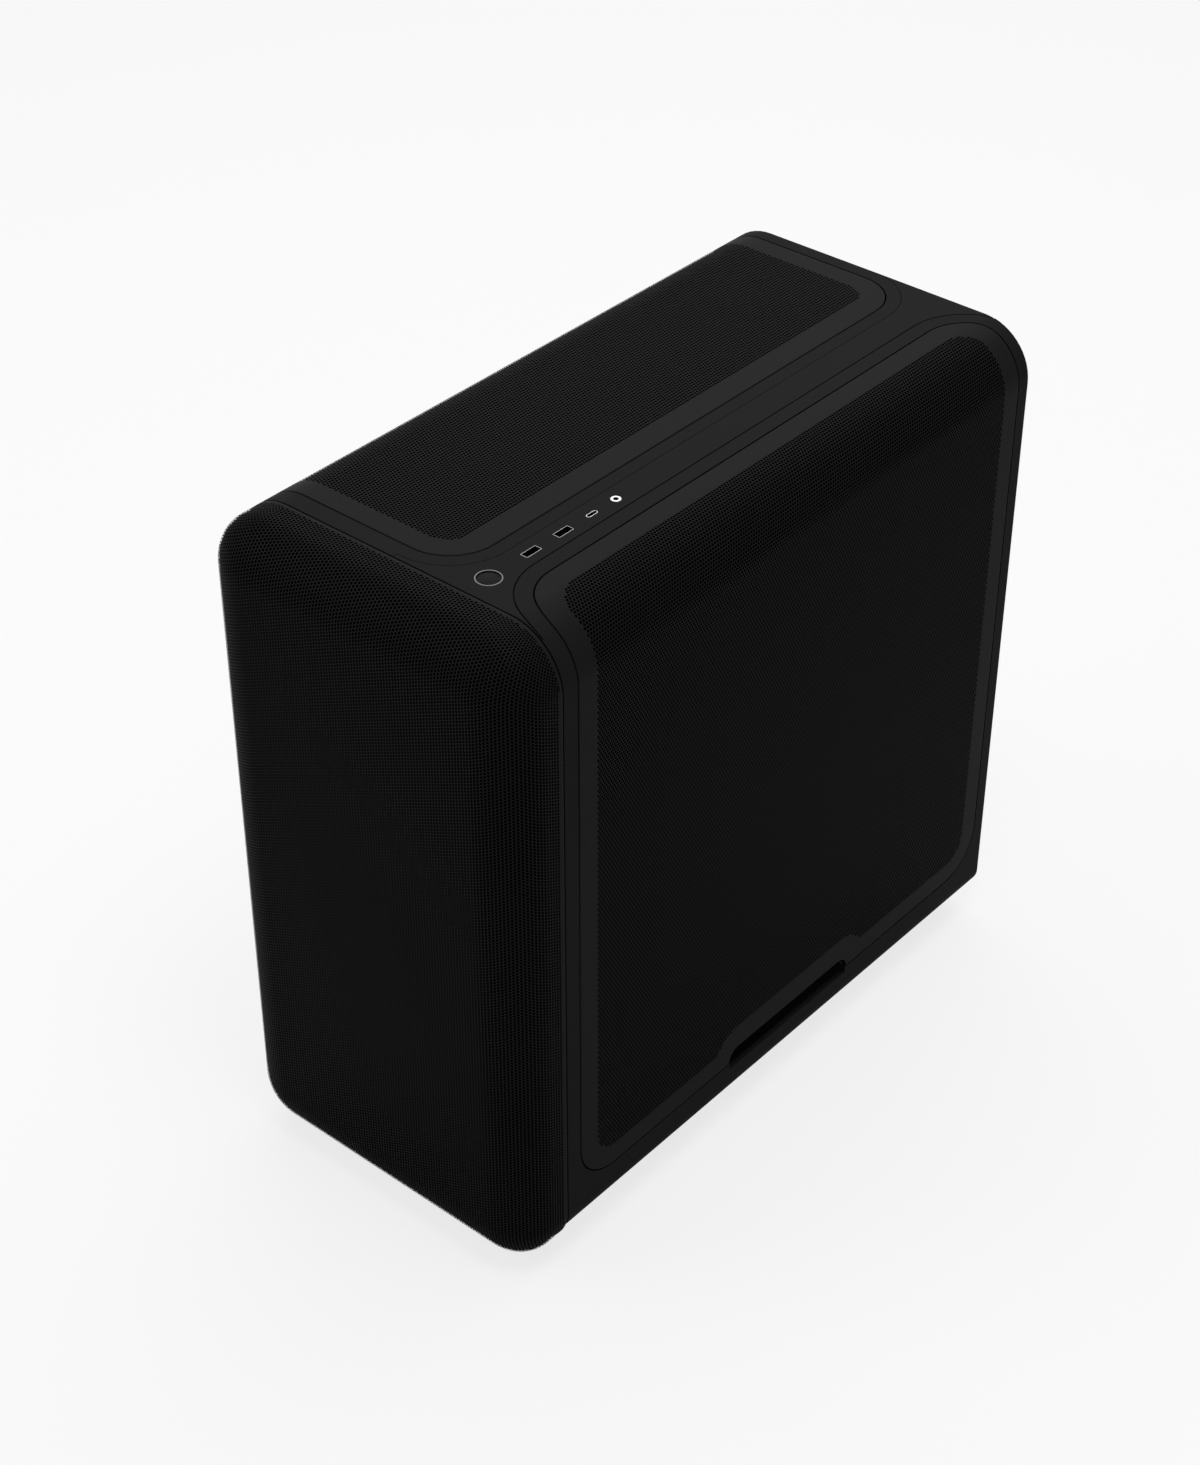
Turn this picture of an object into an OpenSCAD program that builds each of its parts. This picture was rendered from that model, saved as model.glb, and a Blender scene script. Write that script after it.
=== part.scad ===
// Mid-tower computer case with a pillow-shaped perforated front, a right side panel that wraps
// over the top edge, a perforated top panel and a saddle-shaped strip that holds the ports.
// The front faces -Y, the right side +X, and the case stands on z = 0.

/* [Body] */
// Width of the body
case_w = 258.5; // [250:0.5:300]
// Height over all, from the floor to the top face
case_h = 500; // [490:1:560]
// Length of the body behind the front seam
body_len = 472.8; // [465:0.1:540]
// Height of the body's underside above the floor
belly_z = 23; // [20:0.5:30]
// Radius of the two long top edges
top_r = 38.8; // [37.5:0.1:45]
// Radius of the two long bottom edges
low_r = 16; // [10:0.5:22]
// Depth of the pockets that the panels lie in
pocket_t = 2.4; // [2.3:0.1:3.5]
// Thickness of the ledge behind each panel's edge
ledge_t = 1.5; // [1:0.1:3]
// Width of the ledge behind each panel's edge
ledge_w = 12; // [11.5:0.5:16]
// Thickness of the chassis sheet steel
steel_t = 1; // [0.6:0.1:1.5]
// Gap at which steel sheets and inner parts sit from what carries them
seat_gap = 0.3; // [0.1:0.05:0.4]

/* [Front panel] */
// Depth of the front panel from its seam to its face
front_bulge = 43; // [40:0.5:55]
// Straight flank of the front panel before it rounds over
front_flank = 14.2; // [13:0.1:17]
// Corner radius of the front face's flat part
front_face_r = 2.3; // [0.5:0.1:6]
// Tighter radius of the rounding, at the flank
round_tight_r = 24; // [20:0.5:26]
// Height of the front panel's lower edge above the floor
front_low_z = 6; // [5.8:0.1:12]
// Width of the front seam
front_seam = 0.8; // [0.4:0.1:1.2]

/* [Panels] */
// Thickness of the panel sheet
sheet_t = 1.2; // [0.8:0.1:1.5]
// Thickness of the folded hem round a panel
hem_t = 2.1; // [1.6:0.1:2.2]
// Width of the folded hem
hem_w = 2.2; // [1.5:0.1:2.4]
// Gap between a panel and its pocket
panel_gap = 0.6; // [0.3:0.1:1]
// Distance from the front seam to the side panels' front edge
side_front = 12.4; // [12:0.1:16]
// Distance from the front seam to the top panel's front edge
top_front = 13.3; // [12:0.1:16]
// Distance from the rear face to the panels' rear edges
panel_rear = 10.2; // [9:0.1:14]
// Distance from the centre plane to the right panel's edge on the top
right_edge_x = 76.4; // [74:0.1:80]
// Distance from the centre plane to the top panel's near edge
top_edge_x = 34.1; // [30:0.1:36]
// Height of the side panels' lower edge
side_low_z = 54.3; // [50:0.1:60]
// Corner radius of the side panels
side_r = 35; // [30:0.5:40]
// Corner radius of the top panel
top_corner_r = 34.4; // [30:0.1:40]
// Distance from the top face down to the top panel's lower edge on the left side
wrap_drop = 47; // [43:0.5:55]
// Corner radius of the top panel's lower corners
wrap_r = 6; // [3:0.5:7]
// Distance from the top face down to the left panel's upper edge
left_top_drop = 59; // [57:0.5:80]
// Half width of the grip notch at the panel's lower edge
grip_half = 67.8; // [55:0.1:80]
// Height of the grip notch
grip_h = 11; // [9:0.5:14]
// Solid margin between a panel's edge and its perforated field
field_margin = 17.5; // [15:0.5:24]
// Spacing of the vent holes along a row
vent_pitch = 40; // [34:1:60]
// Size of a vent hole across its corners
vent_d = 11; // [4:0.5:16]
// Spacing of the front panel's vent holes along a row
front_vent_pitch = 40; // [18:1:60]
// Size of a front vent hole across its corners
front_vent_d = 11; // [4:0.5:14]
// Corner radius of a perforated field
field_r = 20; // [10:1:30]

/* [Port strip] */
// Width of the rim between the top panel and the port strip
top_rim_w = 10.1; // [9:0.1:12]
// Width of the rim between the right panel and the port strip
right_rim_w = 11.1; // [9:0.1:12]
// Gap round the port strip
strip_gap = 0.4; // [0.2:0.05:0.6]
// Thickness of the port strip
strip_t = 2.1; // [1.5:0.1:2.2]
// Distance from the centre plane to the ports' centre line
port_x = 55; // [52:0.1:58]
// Distance from the front seam to the power button's centre
button_in = 19.8; // [18:0.1:24]
// Outer diameter of the power button's ring
ring_d = 16.9; // [14:0.1:19]
// Width of the ring round the power button
ring_w = 0.75; // [0.5:0.05:1.2]
// Travel of the power button
button_travel = 0.8; // [0.4:0.1:1.2]
// Distance from the front seam to the first USB-A port
usb_1_in = 56.6; // [50:0.1:64]
// Distance from the front seam to the second USB-A port
usb_2_in = 85.2; // [78:0.1:92]
// Distance from the front seam to the USB-C port
usb_c_in = 111.1; // [105:0.1:118]
// Distance from the front seam to the audio jack
jack_in = 133.3; // [126:0.1:140]
// Length of a USB-A shell
usb_l = 13.1; // [12.5:0.1:14]
// Width of a USB-A shell
usb_w = 5.7; // [5:0.1:6]
// Length of the USB-C shell
usb_c_l = 9; // [8.5:0.1:10]
// Width of the USB-C shell
usb_c_w = 3.3; // [3:0.1:4]
// Outer diameter of the audio jack's ring
jack_d = 6.6; // [6:0.1:8]
// Height of the port board's top face below the case's top face
board_drop = 14.4; // [13.5:0.1:17]

/* [Inside] */
// Clearance between the rear wall and the panels' rear sockets
rear_wall_gap = 1.1; // [0.5:0.1:9]
// Distance of the front wall behind the front seam
front_wall_in = 10; // [9.5:0.5:11]
// Distance of the motherboard tray from the centre plane
tray_x = 54; // [50:0.5:60]
// Distance from the top face down to the roof plate
roof_drop = 26; // [23:0.5:35]
// Height of the top of the power supply shroud
shroud_z = 122; // [118:0.5:124]
// Distance from the top face down to the motherboard's top edge
board_top_drop = 62; // [55:0.5:70]
// Height of the motherboard standoffs
standoff_h = 6.5; // [6:0.1:8]
// Radius of the threaded hole in a standoff
standoff_hole_r = 1.45; // [1.2:0.05:1.6]
// Spacing of the expansion slots
slot_pitch = 20.32; // [20.32]
// Distance from the motherboard's top edge down to the centre of the first expansion slot
slot_top_drop = 182; // [176:0.5:188]
// Clear bore of the openings at the fans
fan_bore = 112; // [100:1:114]
// Side of a fan's frame
fan_size = 120; // [119:0.5:120]
// Depth of a fan's frame
fan_depth = 25; // [22:0.5:25.5]
// Distance of a fan's screw holes from the sides of its frame
fan_hole_in = 7.5; // [7.25:0.05:8]
// Radius of the fan screw holes in the steel walls
fan_hole_r = 2.25; // [2.2:0.05:2.6]
// Distance of the front fans' centre line from the left side
fan_side_in = 94.25; // [89.5:0.05:99]
// Distance from the top face down to the highest front fan's centre
fan_top_drop = 115; // [110:0.5:130]
// Distance of the rear fan's centre from the left side
rear_fan_in = 70.25; // [69.5:0.05:71.5]
// Distance from the top face down to the rear fan's centre
rear_fan_drop = 100; // [92:0.5:105]
// Number of blades on a fan rotor
fan_blades = 7; // [5:1:9]

/* [Feet and bottom filter] */
// Distance of a foot's outer side from the case's side
foot_side_in = 21.25; // [17:0.05:29]
// Width of a foot
foot_w = 24; // [16:0.5:25]
// Length of a foot
foot_l = 60; // [50:0.5:70]
// Distance from the rear face to the rear feet
foot_rear_in = 44.4; // [35:0.1:60]
// How far the front feet's toes reach in front of the front seam
toe_out = 14.6; // [5:0.1:20]
// Thickness of the rubber pads
pad_t = 3; // [2:0.1:3.5]
// Distance from the case's side to the bottom filter's edge
filter_side_in = 50.25; // [49.5:0.05:54]
// Length of the bottom filter
filter_l = 245; // [200:1:250]
// Thickness of the bottom filter's frame
filter_t = 3; // [2:0.1:4]

/* [Hidden] */
$fn = 64;
total_len = body_len + front_bulge;
y_seam = front_bulge - total_len / 2;
y_rear = total_len / 2;
y_body = y_seam + front_seam / 2;
half_w = case_w / 2;
round_in = top_r - front_face_r;
front_low_r = round_in;
side_y0 = y_seam + side_front;
top_y0 = y_seam + top_front;
panel_y1 = y_rear - panel_rear;
frame_t = pocket_t + ledge_t;
inner = frame_t + seat_gap;
reach = 10;
stud_in = 6.5;
socket_out_r = 4.2;
rear_wall_y = panel_y1 - stud_in - socket_out_r - rear_wall_gap;
rear_in_y = rear_wall_y - steel_t;
front_wall_y = y_seam + front_wall_in;
front_in_y = front_wall_y + steel_t;
floor_z = belly_z + frame_t + seat_gap;
stud_low_in = 55.7;
stud_high_in = 41;
top_stud_left_in = 49.25;
top_stud_right_in = 44.1;
front_stud_in = 17.25;
front_stud_up = 54;
front_stud_down = 60;
vent_inset = field_margin + vent_d / 2;
stud_r = 1.5;
stud_ball_r = 2.2;
socket_r = 2.6;
socket_l = 6;
round_wide_r = (pow(round_in - round_tight_r, 2) + pow(front_round_d(), 2) - pow(round_tight_r, 2))
    / (2 * (front_round_d() - round_tight_r));
round_join = atan2(round_in - round_tight_r, round_wide_r - front_round_d());
board_z = case_h - board_drop;
button_y = y_seam + button_in;
wrap_low_z = case_h - wrap_drop;
left_top_z = case_h - left_top_drop;
roof_z = case_h - roof_drop;
board_top_z = case_h - board_top_drop;
slot_top_z = board_top_z - slot_top_drop;
foot_out = half_w - foot_side_in;
fan_x = -half_w + fan_side_in;
fan_hole_pitch = fan_size - 2 * fan_hole_in;
grip_y = y_seam + body_len / 2;
filter_w = case_w - 2 * filter_side_in;
filter_z = belly_z - 8;
filter_y1 = y_rear - 24;
rear_fan_x = -half_w + rear_fan_in;
rear_fan_z = case_h - rear_fan_drop;
fan_zs = [for (i = [2:-1:0]) case_h - fan_top_drop - i * fan_size];
front_fan_y = front_wall_y - fan_depth;
rear_fan_y = rear_in_y - seat_gap - fan_depth;

function front_round_d() = front_bulge - front_flank;

// Extrusions along the three axes, from one plane to another
module along_x(x0, x1) translate([x0, 0, 0]) rotate([90, 0, 90]) linear_extrude(x1 - x0) children();
module along_y(y0, y1) translate([0, y1, 0]) rotate([90, 0, 0]) linear_extrude(y1 - y0) children();
module along_z(z0, z1) translate([0, 0, z0]) linear_extrude(z1 - z0) children();

// A rectangle with a radius of its own at each corner, counted round from the low left
module soft_rect(lo, hi, radii) {
    difference() {
        translate(lo) square(hi - lo);
        corner_cut([lo.x, lo.y], [1, 1], radii[0]);
        corner_cut([hi.x, lo.y], [-1, 1], radii[1]);
        corner_cut([hi.x, hi.y], [-1, -1], radii[2]);
        corner_cut([lo.x, hi.y], [1, -1], radii[3]);
    }
}

// The bit outside a rounded corner
module corner_cut(at, way, r) {
    if (r > 0) {
        translate(at) difference() {
            polygon([-way, [way.x * r, -way.y], way * r, [-way.x, way.y * r]]);
            translate(way * r) circle(r);
        }
    }
}

module box(lo, hi) translate(lo) cube(hi - lo);

// Outline of the body seen from the front, inset from its outer face
module body_outline(inset) {
    soft_rect([-half_w + inset, belly_z + inset], [half_w - inset, case_h - inset],
        [low_r - inset, low_r - inset, top_r - inset, top_r - inset]);
}

// A layer of the body's skin between two insets
module body_layer(from, to, y0, y1) {
    along_y(y0, y1) difference() {
        body_outline(from);
        body_outline(to);
    }
}

// Half the clear width inside the frame at a height in its rounded top
function inner_reach(z) = half_w - top_r + sqrt(pow(top_r - frame_t, 2) - pow(z - case_h + top_r, 2));

// The same in its rounded bottom
function inner_low_reach(z) = half_w - low_r + sqrt(pow(low_r - frame_t, 2) - pow(belly_z + low_r - z, 2));

// What lies deeper than an inset
module body_core(inset) along_y(y_seam - reach, y_rear + reach) body_outline(inset);

// The right panel's place: rounded on the top in plan, and at its lower corners from the side
module right_place(grow) {
    r = side_r + grow;
    along_z(case_h - top_r, case_h + reach)
        soft_rect([right_edge_x - grow, side_y0 - grow], [half_w + reach, panel_y1 + grow], [r, 0, 0, r]);
    along_x(right_edge_x - grow, half_w + reach)
        soft_rect([side_y0 - grow, side_low_z - grow], [panel_y1 + grow, case_h - top_r + 1], [r, r, 0, 0]);
}

// The top panel's place, which wraps over the left edge
module top_place(grow) {
    r = top_corner_r + grow;
    low_r = max(wrap_r + grow, 0.5);
    along_z(case_h - top_r, case_h + reach)
        soft_rect([-half_w - reach, top_y0 - grow], [top_edge_x + grow, panel_y1 + grow], [0, r, r, 0]);
    along_x(-half_w - reach, -half_w + top_r)
        soft_rect([top_y0 - grow, wrap_low_z - grow], [panel_y1 + grow, case_h - top_r + 1],
            [low_r, low_r, 0, 0]);
}

// The flat left panel's place
module left_place(grow) {
    r = side_r + grow;
    along_x(-half_w - reach, -half_w + reach)
        soft_rect([side_y0 - grow, side_low_z - grow], [panel_y1 + grow, left_top_z + grow], [r, r, r, r]);
}

// Grip notch in a side panel's lower edge, seen from the side
module grip_outline(grow) {
    foot = grip_half + grow;
    head = grip_half - grip_h + grow;
    translate([grip_y, 0]) polygon([
        [-foot, side_low_z - 5], [foot, side_low_z - 5], [foot, side_low_z],
        [foot - 0.4 * grip_h, side_low_z + 0.72 * grip_h + grow], [head, side_low_z + grip_h + grow],
        [-head, side_low_z + grip_h + grow], [-foot + 0.4 * grip_h, side_low_z + 0.72 * grip_h + grow],
        [-foot, side_low_z]
    ]);
}

// Staggered rows of vents that fill a rounded field, kept clear of a grip at its lower edge
module vents(lo, hi, pitch, d, clear = [[0, 0], [0, 0]]) {
    row = pitch * sqrt(3) / 2;
    mid = (lo + hi) / 2;
    columns = floor((hi.x - lo.x) / pitch);
    rows = floor((hi.y - lo.y) / row);
    for (j = [0:rows]) {
        shift = j % 2 == 0 ? 0 : 0.5;
        for (i = [0:columns - (j % 2)]) {
            at = mid + [(i + shift - columns / 2) * pitch, (j - rows / 2) * row];
            if (in_round_rect(at, lo, hi, field_r) && !in_rect(at, clear[0], clear[1])) {
                translate(at) rotate(30) circle(d = d, $fn = 6);
            }
        }
    }
}

function in_rect(p, lo, hi) = p.x > lo.x && p.x < hi.x && p.y > lo.y && p.y < hi.y;
function past_core(v, lo, hi, r) = max(abs(v - (lo + hi) / 2) - (hi - lo) / 2 + r, 0);
function past_corner(p, lo, hi, r) = norm([past_core(p.x, lo.x, hi.x, r), past_core(p.y, lo.y, hi.y, r)]);
function in_round_rect(p, lo, hi, r) = past_corner(p, lo, hi, r) < r + 0.01;

// A side panel's vents: the field ends half a vent and a land inside the panel's edge
module side_vents(top) {
    lo = [side_y0 + vent_inset, side_low_z + vent_inset];
    grip_lo = [grip_y - grip_half - vent_inset, 0];
    grip_hi = [grip_y + grip_half + vent_inset, side_low_z + grip_h + vent_inset];
    vents(lo, [panel_y1 - vent_inset, top], vent_pitch, vent_d, [grip_lo, grip_hi]);
}

// Ball stud and its socket, drawn up +Z from the panel's inner face
module ball_stud() {
    cylinder(r = 3, h = 0.8);
    cylinder(r = stud_r, h = socket_l);
    translate([0, 0, socket_l]) sphere(r = stud_ball_r);
}

module ball_socket() {
    difference() {
        cylinder(r = socket_out_r, h = socket_l);
        translate([0, 0, -1]) cylinder(r = socket_r, h = socket_l + 2);
    }
}

module at_stud(x, y, z, turn) translate([x, y, z]) rotate(turn) children();

side_stud_ys = [side_y0 + stud_in, panel_y1 - stud_in];
side_stud_zs = [side_low_z + stud_low_in, left_top_z - stud_high_in];
top_stud_xs = [-half_w + top_stud_left_in, top_edge_x - top_stud_right_in];
top_stud_ys = [top_y0 + stud_in, panel_y1 - stud_in];
front_stud_xs = [front_stud_in - half_w, half_w - front_stud_in];
front_stud_zs = [front_low_z + front_stud_up, case_h - front_stud_down];

// Place something at each stud of the right panel, at a depth below the skin
module at_right_studs(depth) {
    for (y = side_stud_ys, z = side_stud_zs) at_stud(half_w - depth, y, z, [0, -90, 0]) children();
}

module at_left_studs(depth) {
    for (y = side_stud_ys, z = side_stud_zs) at_stud(depth - half_w, y, z, [0, 90, 0]) children();
}

module at_top_studs(depth) {
    for (x = top_stud_xs, y = top_stud_ys) at_stud(x, y, case_h - depth, [180, 0, 0]) children();
}

module at_front_studs(y) {
    for (x = front_stud_xs, z = front_stud_zs) at_stud(x, y, z, [-90, 0, 0]) children();
}

// Plan of the port strip: what the two rims leave between them
module strip_plan(gap) {
    top_r2 = top_corner_r + top_rim_w - gap;
    right_r2 = side_r + right_rim_w - gap;
    front_x = [top_edge_x - top_corner_r - 2.5, right_edge_x + side_r + 1.5];
    rear_x = [top_edge_x - top_corner_r + 8.5, right_edge_x + side_r - 13];
    difference() {
        polygon([
            [front_x[0] - gap, y_body - 1], [rear_x[0] - gap, y_rear + 1],
            [rear_x[1] + gap, y_rear + 1], [front_x[1] + gap, y_body - 1]
        ]);
        soft_rect([-case_w, top_y0 - top_rim_w + gap],
            [top_edge_x + top_rim_w - gap, panel_y1 + top_rim_w - gap], [0, top_r2, top_r2, 0]);
        soft_rect([right_edge_x - right_rim_w + gap, side_y0 - right_rim_w + gap],
            [case_w, panel_y1 + right_rim_w - gap], [right_r2, 0, 0, right_r2]);
    }
}

port_window = [[port_x - 9.5, button_y - 11], [port_x + 9.5, y_seam + jack_in + 8]];
board_half = 15;
post_out = 12.2;
post_ys = [port_window[0].y + 5, port_window[1].y - 5];
strip_peg_pitch = 100;
strip_peg_ys = [for (i = [0:2]) y_seam + 184.9 + i * strip_peg_pitch];

// Opening in the belly over the bottom filter
belly_lo = [7 - filter_w / 2, filter_y1 - filter_l - 3.9];
belly_hi = [filter_w / 2 - 7, filter_y1 - 8.9];

// The moulded outer frame: one ring that carries every panel in a stepped pocket
module outer_frame() {
    color("#262626") {
        difference() {
            body_layer(0, frame_t, y_body, y_rear);
            difference() {
                union() {
                    right_place(0);
                    left_place(0);
                    top_place(0);
                    along_z(case_h - top_r, case_h + reach) strip_plan(strip_gap);
                }
                body_core(pocket_t);
            }
            right_place(-ledge_w);
            left_place(-ledge_w);
            top_place(-ledge_w);
            along_z(case_h - reach, case_h + reach)
                translate(port_window[0]) square(port_window[1] - port_window[0]);
            along_x(-half_w - reach, half_w + reach) grip_outline(-1);
            box([belly_lo.x, belly_lo.y, 0], [belly_hi.x, belly_hi.y, floor_z]);
            at_right_studs(0) cylinder(r = socket_r, h = frame_t + 1);
            at_left_studs(0) cylinder(r = socket_r, h = frame_t + 1);
            at_top_studs(0) cylinder(r = socket_r, h = frame_t + 1);
            for (y = strip_peg_ys) translate([port_x, y, case_h - reach]) cylinder(r = 2.3, h = 2 * reach);
        }
        post_z = board_z + seat_gap;
        for (x = [port_x - post_out, port_x + post_out], y = post_ys) {
            translate([x, y, post_z]) cylinder(r = 2.2, h = case_h - frame_t + 0.2 - post_z);
        }
    }
}

// The saddle-shaped strip between the rims, pierced for the ports
module port_strip() {
    color("#2a2a2a") {
        difference() {
            intersection() {
                body_layer(0, strip_t, y_body, y_rear);
                along_z(case_h - top_r, case_h + reach) strip_plan(0);
            }
            translate([port_x, button_y, case_h - reach]) cylinder(d = ring_d + 0.2, h = 2 * reach);
            for (y = [usb_1_in, usb_2_in]) port_hole(y, usb_w + 0.2, usb_l + 0.2, 0.6);
            port_hole(usb_c_in, usb_c_w + 0.2, usb_c_l + 0.2, usb_c_w / 2);
            translate([port_x, y_seam + jack_in, case_h - reach]) cylinder(d = jack_d + 0.2, h = 2 * reach);
        }
        for (y = strip_peg_ys) translate([port_x, y, case_h - frame_t - 1.5]) cylinder(r = 2, h = frame_t);
    }
}

module port_hole(in, w, l, r) {
    at = [port_x, y_seam + in];
    along_z(case_h - reach, case_h + reach)
        soft_rect(at - [w / 2, l / 2], at + [w / 2, l / 2], [r, r, r, r]);
}

// Domed cap on a stem
module power_button() {
    cap_r = ring_d / 2 - ring_w - seat_gap;
    dome_r = 45;
    rise = dome_r - sqrt(dome_r * dome_r - cap_r * cap_r);
    stem_z = switch_top() + seat_gap + button_travel;
    color("#303030") translate([port_x, button_y, 0]) {
        translate([0, 0, case_h - 4]) cylinder(r = cap_r, h = 3.4 - rise / 2);
        intersection() {
            translate([0, 0, case_h - 1]) cylinder(r = cap_r, h = 2);
            translate([0, 0, case_h - dome_r - 0.1]) sphere(r = dome_r, $fn = 96);
        }
        translate([0, 0, stem_z]) cylinder(r = 2, h = case_h - 3.5 - stem_z);
    }
}

function switch_top() = board_z + 4.3;

// Thin bright ring that lights round the button, with a foot on the board
module button_ring() {
    color("#b8b8b8") translate([port_x, button_y, board_z]) difference() {
        cylinder(d = ring_d, h = case_h - board_z);
        translate([0, 0, -1]) cylinder(d = ring_d - 2 * ring_w, h = case_h);
    }
}

// Tactile switch under the button's stem
module power_switch() {
    color("#202020") translate([port_x, button_y, board_z]) {
        translate([-3, -3, 0]) cube([6, 6, 3.5]);
        cylinder(r = 1.7, h = switch_top() - board_z);
    }
}

// Folded steel shell of a USB-A port with its moulded base
module usb_a_port(in) {
    wall = 0.35;
    at = [port_x, y_seam + in];
    color("#c0c0c0") {
        along_z(board_z, case_h - 0.1) difference() {
            soft_rect(at - [usb_w / 2, usb_l / 2], at + [usb_w / 2, usb_l / 2], [0.5, 0.5, 0.5, 0.5]);
            translate(at - [usb_w / 2 - wall, usb_l / 2 - wall]) square([usb_w - 2 * wall, usb_l - 2 * wall]);
        }
        along_z(board_z, board_z + 2) translate(at) square([usb_w - 0.4, usb_l - 0.4], center = true);
    }
}

module usb_c_port() {
    r = usb_c_w / 2;
    at = [port_x, y_seam + usb_c_in];
    wall = 0.35;
    color("#c0c0c0") {
        along_z(board_z, case_h - 0.1) difference() {
            soft_rect(at - [r, usb_c_l / 2], at + [r, usb_c_l / 2], [r, r, r, r]);
            soft_rect(at - [r - wall, usb_c_l / 2 - wall], at + [r - wall, usb_c_l / 2 - wall],
                [r - wall, r - wall, r - wall, r - wall]);
        }
        along_z(board_z, board_z + 2) translate(at) square([usb_c_w - 0.5, usb_c_l - usb_c_w], center = true);
    }
}

// Round jack with a metal ring, over a moulded body
module audio_jack() {
    bore_r = 1.8;
    color("#c8c8c8") translate([port_x, y_seam + jack_in, board_z]) difference() {
        union() {
            cylinder(d = jack_d, h = case_h - board_z);
            translate([-3.6, -3.6, 0]) cube([7.2, 7.2, 10]);
        }
        translate([0, 0, 1.5]) cylinder(r = bore_r, h = case_h);
    }
}

// Moulded tongues inside the three USB shells
module port_tongues() {
    color("#101010") {
        for (in = [usb_1_in, usb_2_in]) {
            translate([port_x - 1.9, y_seam + in - 5.4, board_z + 2]) cube([1.9, 10.8, 10.4]);
        }
        translate([port_x - 0.35, y_seam + usb_c_in - 3.2, board_z + 2]) cube([0.7, 6.4, 10.4]);
    }
}

// Circuit board under the strip
module port_board() {
    lo = [port_x - board_half, port_window[0].y - 2];
    hi = [port_x + board_half, port_window[1].y + 2];
    color("#1d3a2a") along_z(board_z - 1.6, board_z) soft_rect(lo, hi, [2, 2, 2, 2]);
}

// A panel pressed from sheet, with its edge folded back into a hem; children are its place grown and
// shrunk: first its outline, then the stretch inside the hem
module pressed_panel() {
    difference() {
        intersection() {
            body_layer(0, hem_t, y_body, y_rear);
            children(0);
        }
        intersection() {
            body_core(sheet_t);
            children(1);
        }
    }
}

module right_panel() {
    color("#1e1e1e") difference() {
        pressed_panel() {
            right_place(-panel_gap);
            right_place(-panel_gap - hem_w);
        }
        along_x(half_w - reach, half_w + reach) grip_outline(0);
        along_x(half_w - reach, half_w + reach)
            side_vents(case_h - top_r - vent_d / 2);
    }
}

module left_panel() {
    color("#1e1e1e") difference() {
        pressed_panel() {
            left_place(-panel_gap);
            left_place(-panel_gap - hem_w);
        }
        along_x(-half_w - reach, -half_w + reach) grip_outline(0);
        along_x(-half_w - reach, -half_w + reach)
            side_vents(left_top_z - vent_inset);
    }
}

module top_panel() {
    color("#1e1e1e") difference() {
        pressed_panel() {
            top_place(-panel_gap);
            top_place(-panel_gap - hem_w);
        }
        along_z(case_h - reach, case_h + reach)
            vents([-half_w + top_r + vent_d / 2, top_y0 + vent_inset],
                [top_edge_x - vent_inset, panel_y1 - vent_inset], vent_pitch, vent_d);
    }
}

// Fine nylon filters lie just behind the perforated sheets
module filter_skin() {
    from = sheet_t + seat_gap;
    intersection() {
        body_layer(from, from + 0.5, y_body, y_rear);
        children();
    }
}

module right_filter() color("#0c0c0c") filter_skin() right_place(-ledge_w - 2);
module left_filter() color("#0c0c0c") filter_skin() left_place(-ledge_w - 2);
module top_filter() color("#0c0c0c") filter_skin() top_place(-ledge_w - 2);

module right_panel_studs() color("#8a8a8a") at_right_studs(sheet_t) ball_stud();
module left_panel_studs() color("#8a8a8a") at_left_studs(sheet_t) ball_stud();
module top_panel_studs() color("#8a8a8a") at_top_studs(sheet_t) ball_stud();
module right_panel_sockets() color("#181818") at_right_studs(frame_t) ball_socket();
module left_panel_sockets() color("#181818") at_left_studs(frame_t) ball_socket();
module top_panel_sockets() color("#181818") at_top_studs(frame_t) ball_socket();

// Half section of the front panel's rounding: outwards along x, forwards along y
module round_section(inset, below = 0) {
    c1 = [0, front_round_d() - round_wide_r];
    c2 = [round_in - round_tight_r, 0];
    far = 2 * round_wide_r;
    translate([0, front_flank]) intersection() {
        square([round_in - inset, front_round_d() - inset]);
        union() {
            intersection() {
                translate(c1) circle(round_wide_r - inset, $fn = 128);
                polygon([c1, c1 + [0, far], c1 + [far, far], c1 + far * [sin(round_join), cos(round_join)]]);
            }
            translate(c2) circle(round_tight_r - inset);
        }
    }
    translate([0, -below]) square([round_in - inset, front_flank + below]);
}

// The whole section of the front panel across a width
module pillow_section(lo, hi, inset, below) {
    translate([hi - round_in, 0]) round_section(inset, below);
    translate([lo + round_in, 0]) mirror([1, 0]) round_section(inset, below);
    translate([lo + round_in, -below]) square([hi - lo - 2 * round_in, front_bulge + below - inset]);
}

// A quarter turn of the section at one corner of the front panel
module pillow_corner(r, inset, below) {
    rotate_extrude(angle = 90) {
        translate([r - round_in, 0]) round_section(inset, below);
        if (r > round_in) {
            translate([0, -below]) square([r - round_in, front_bulge + below - inset]);
        }
    }
}

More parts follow.
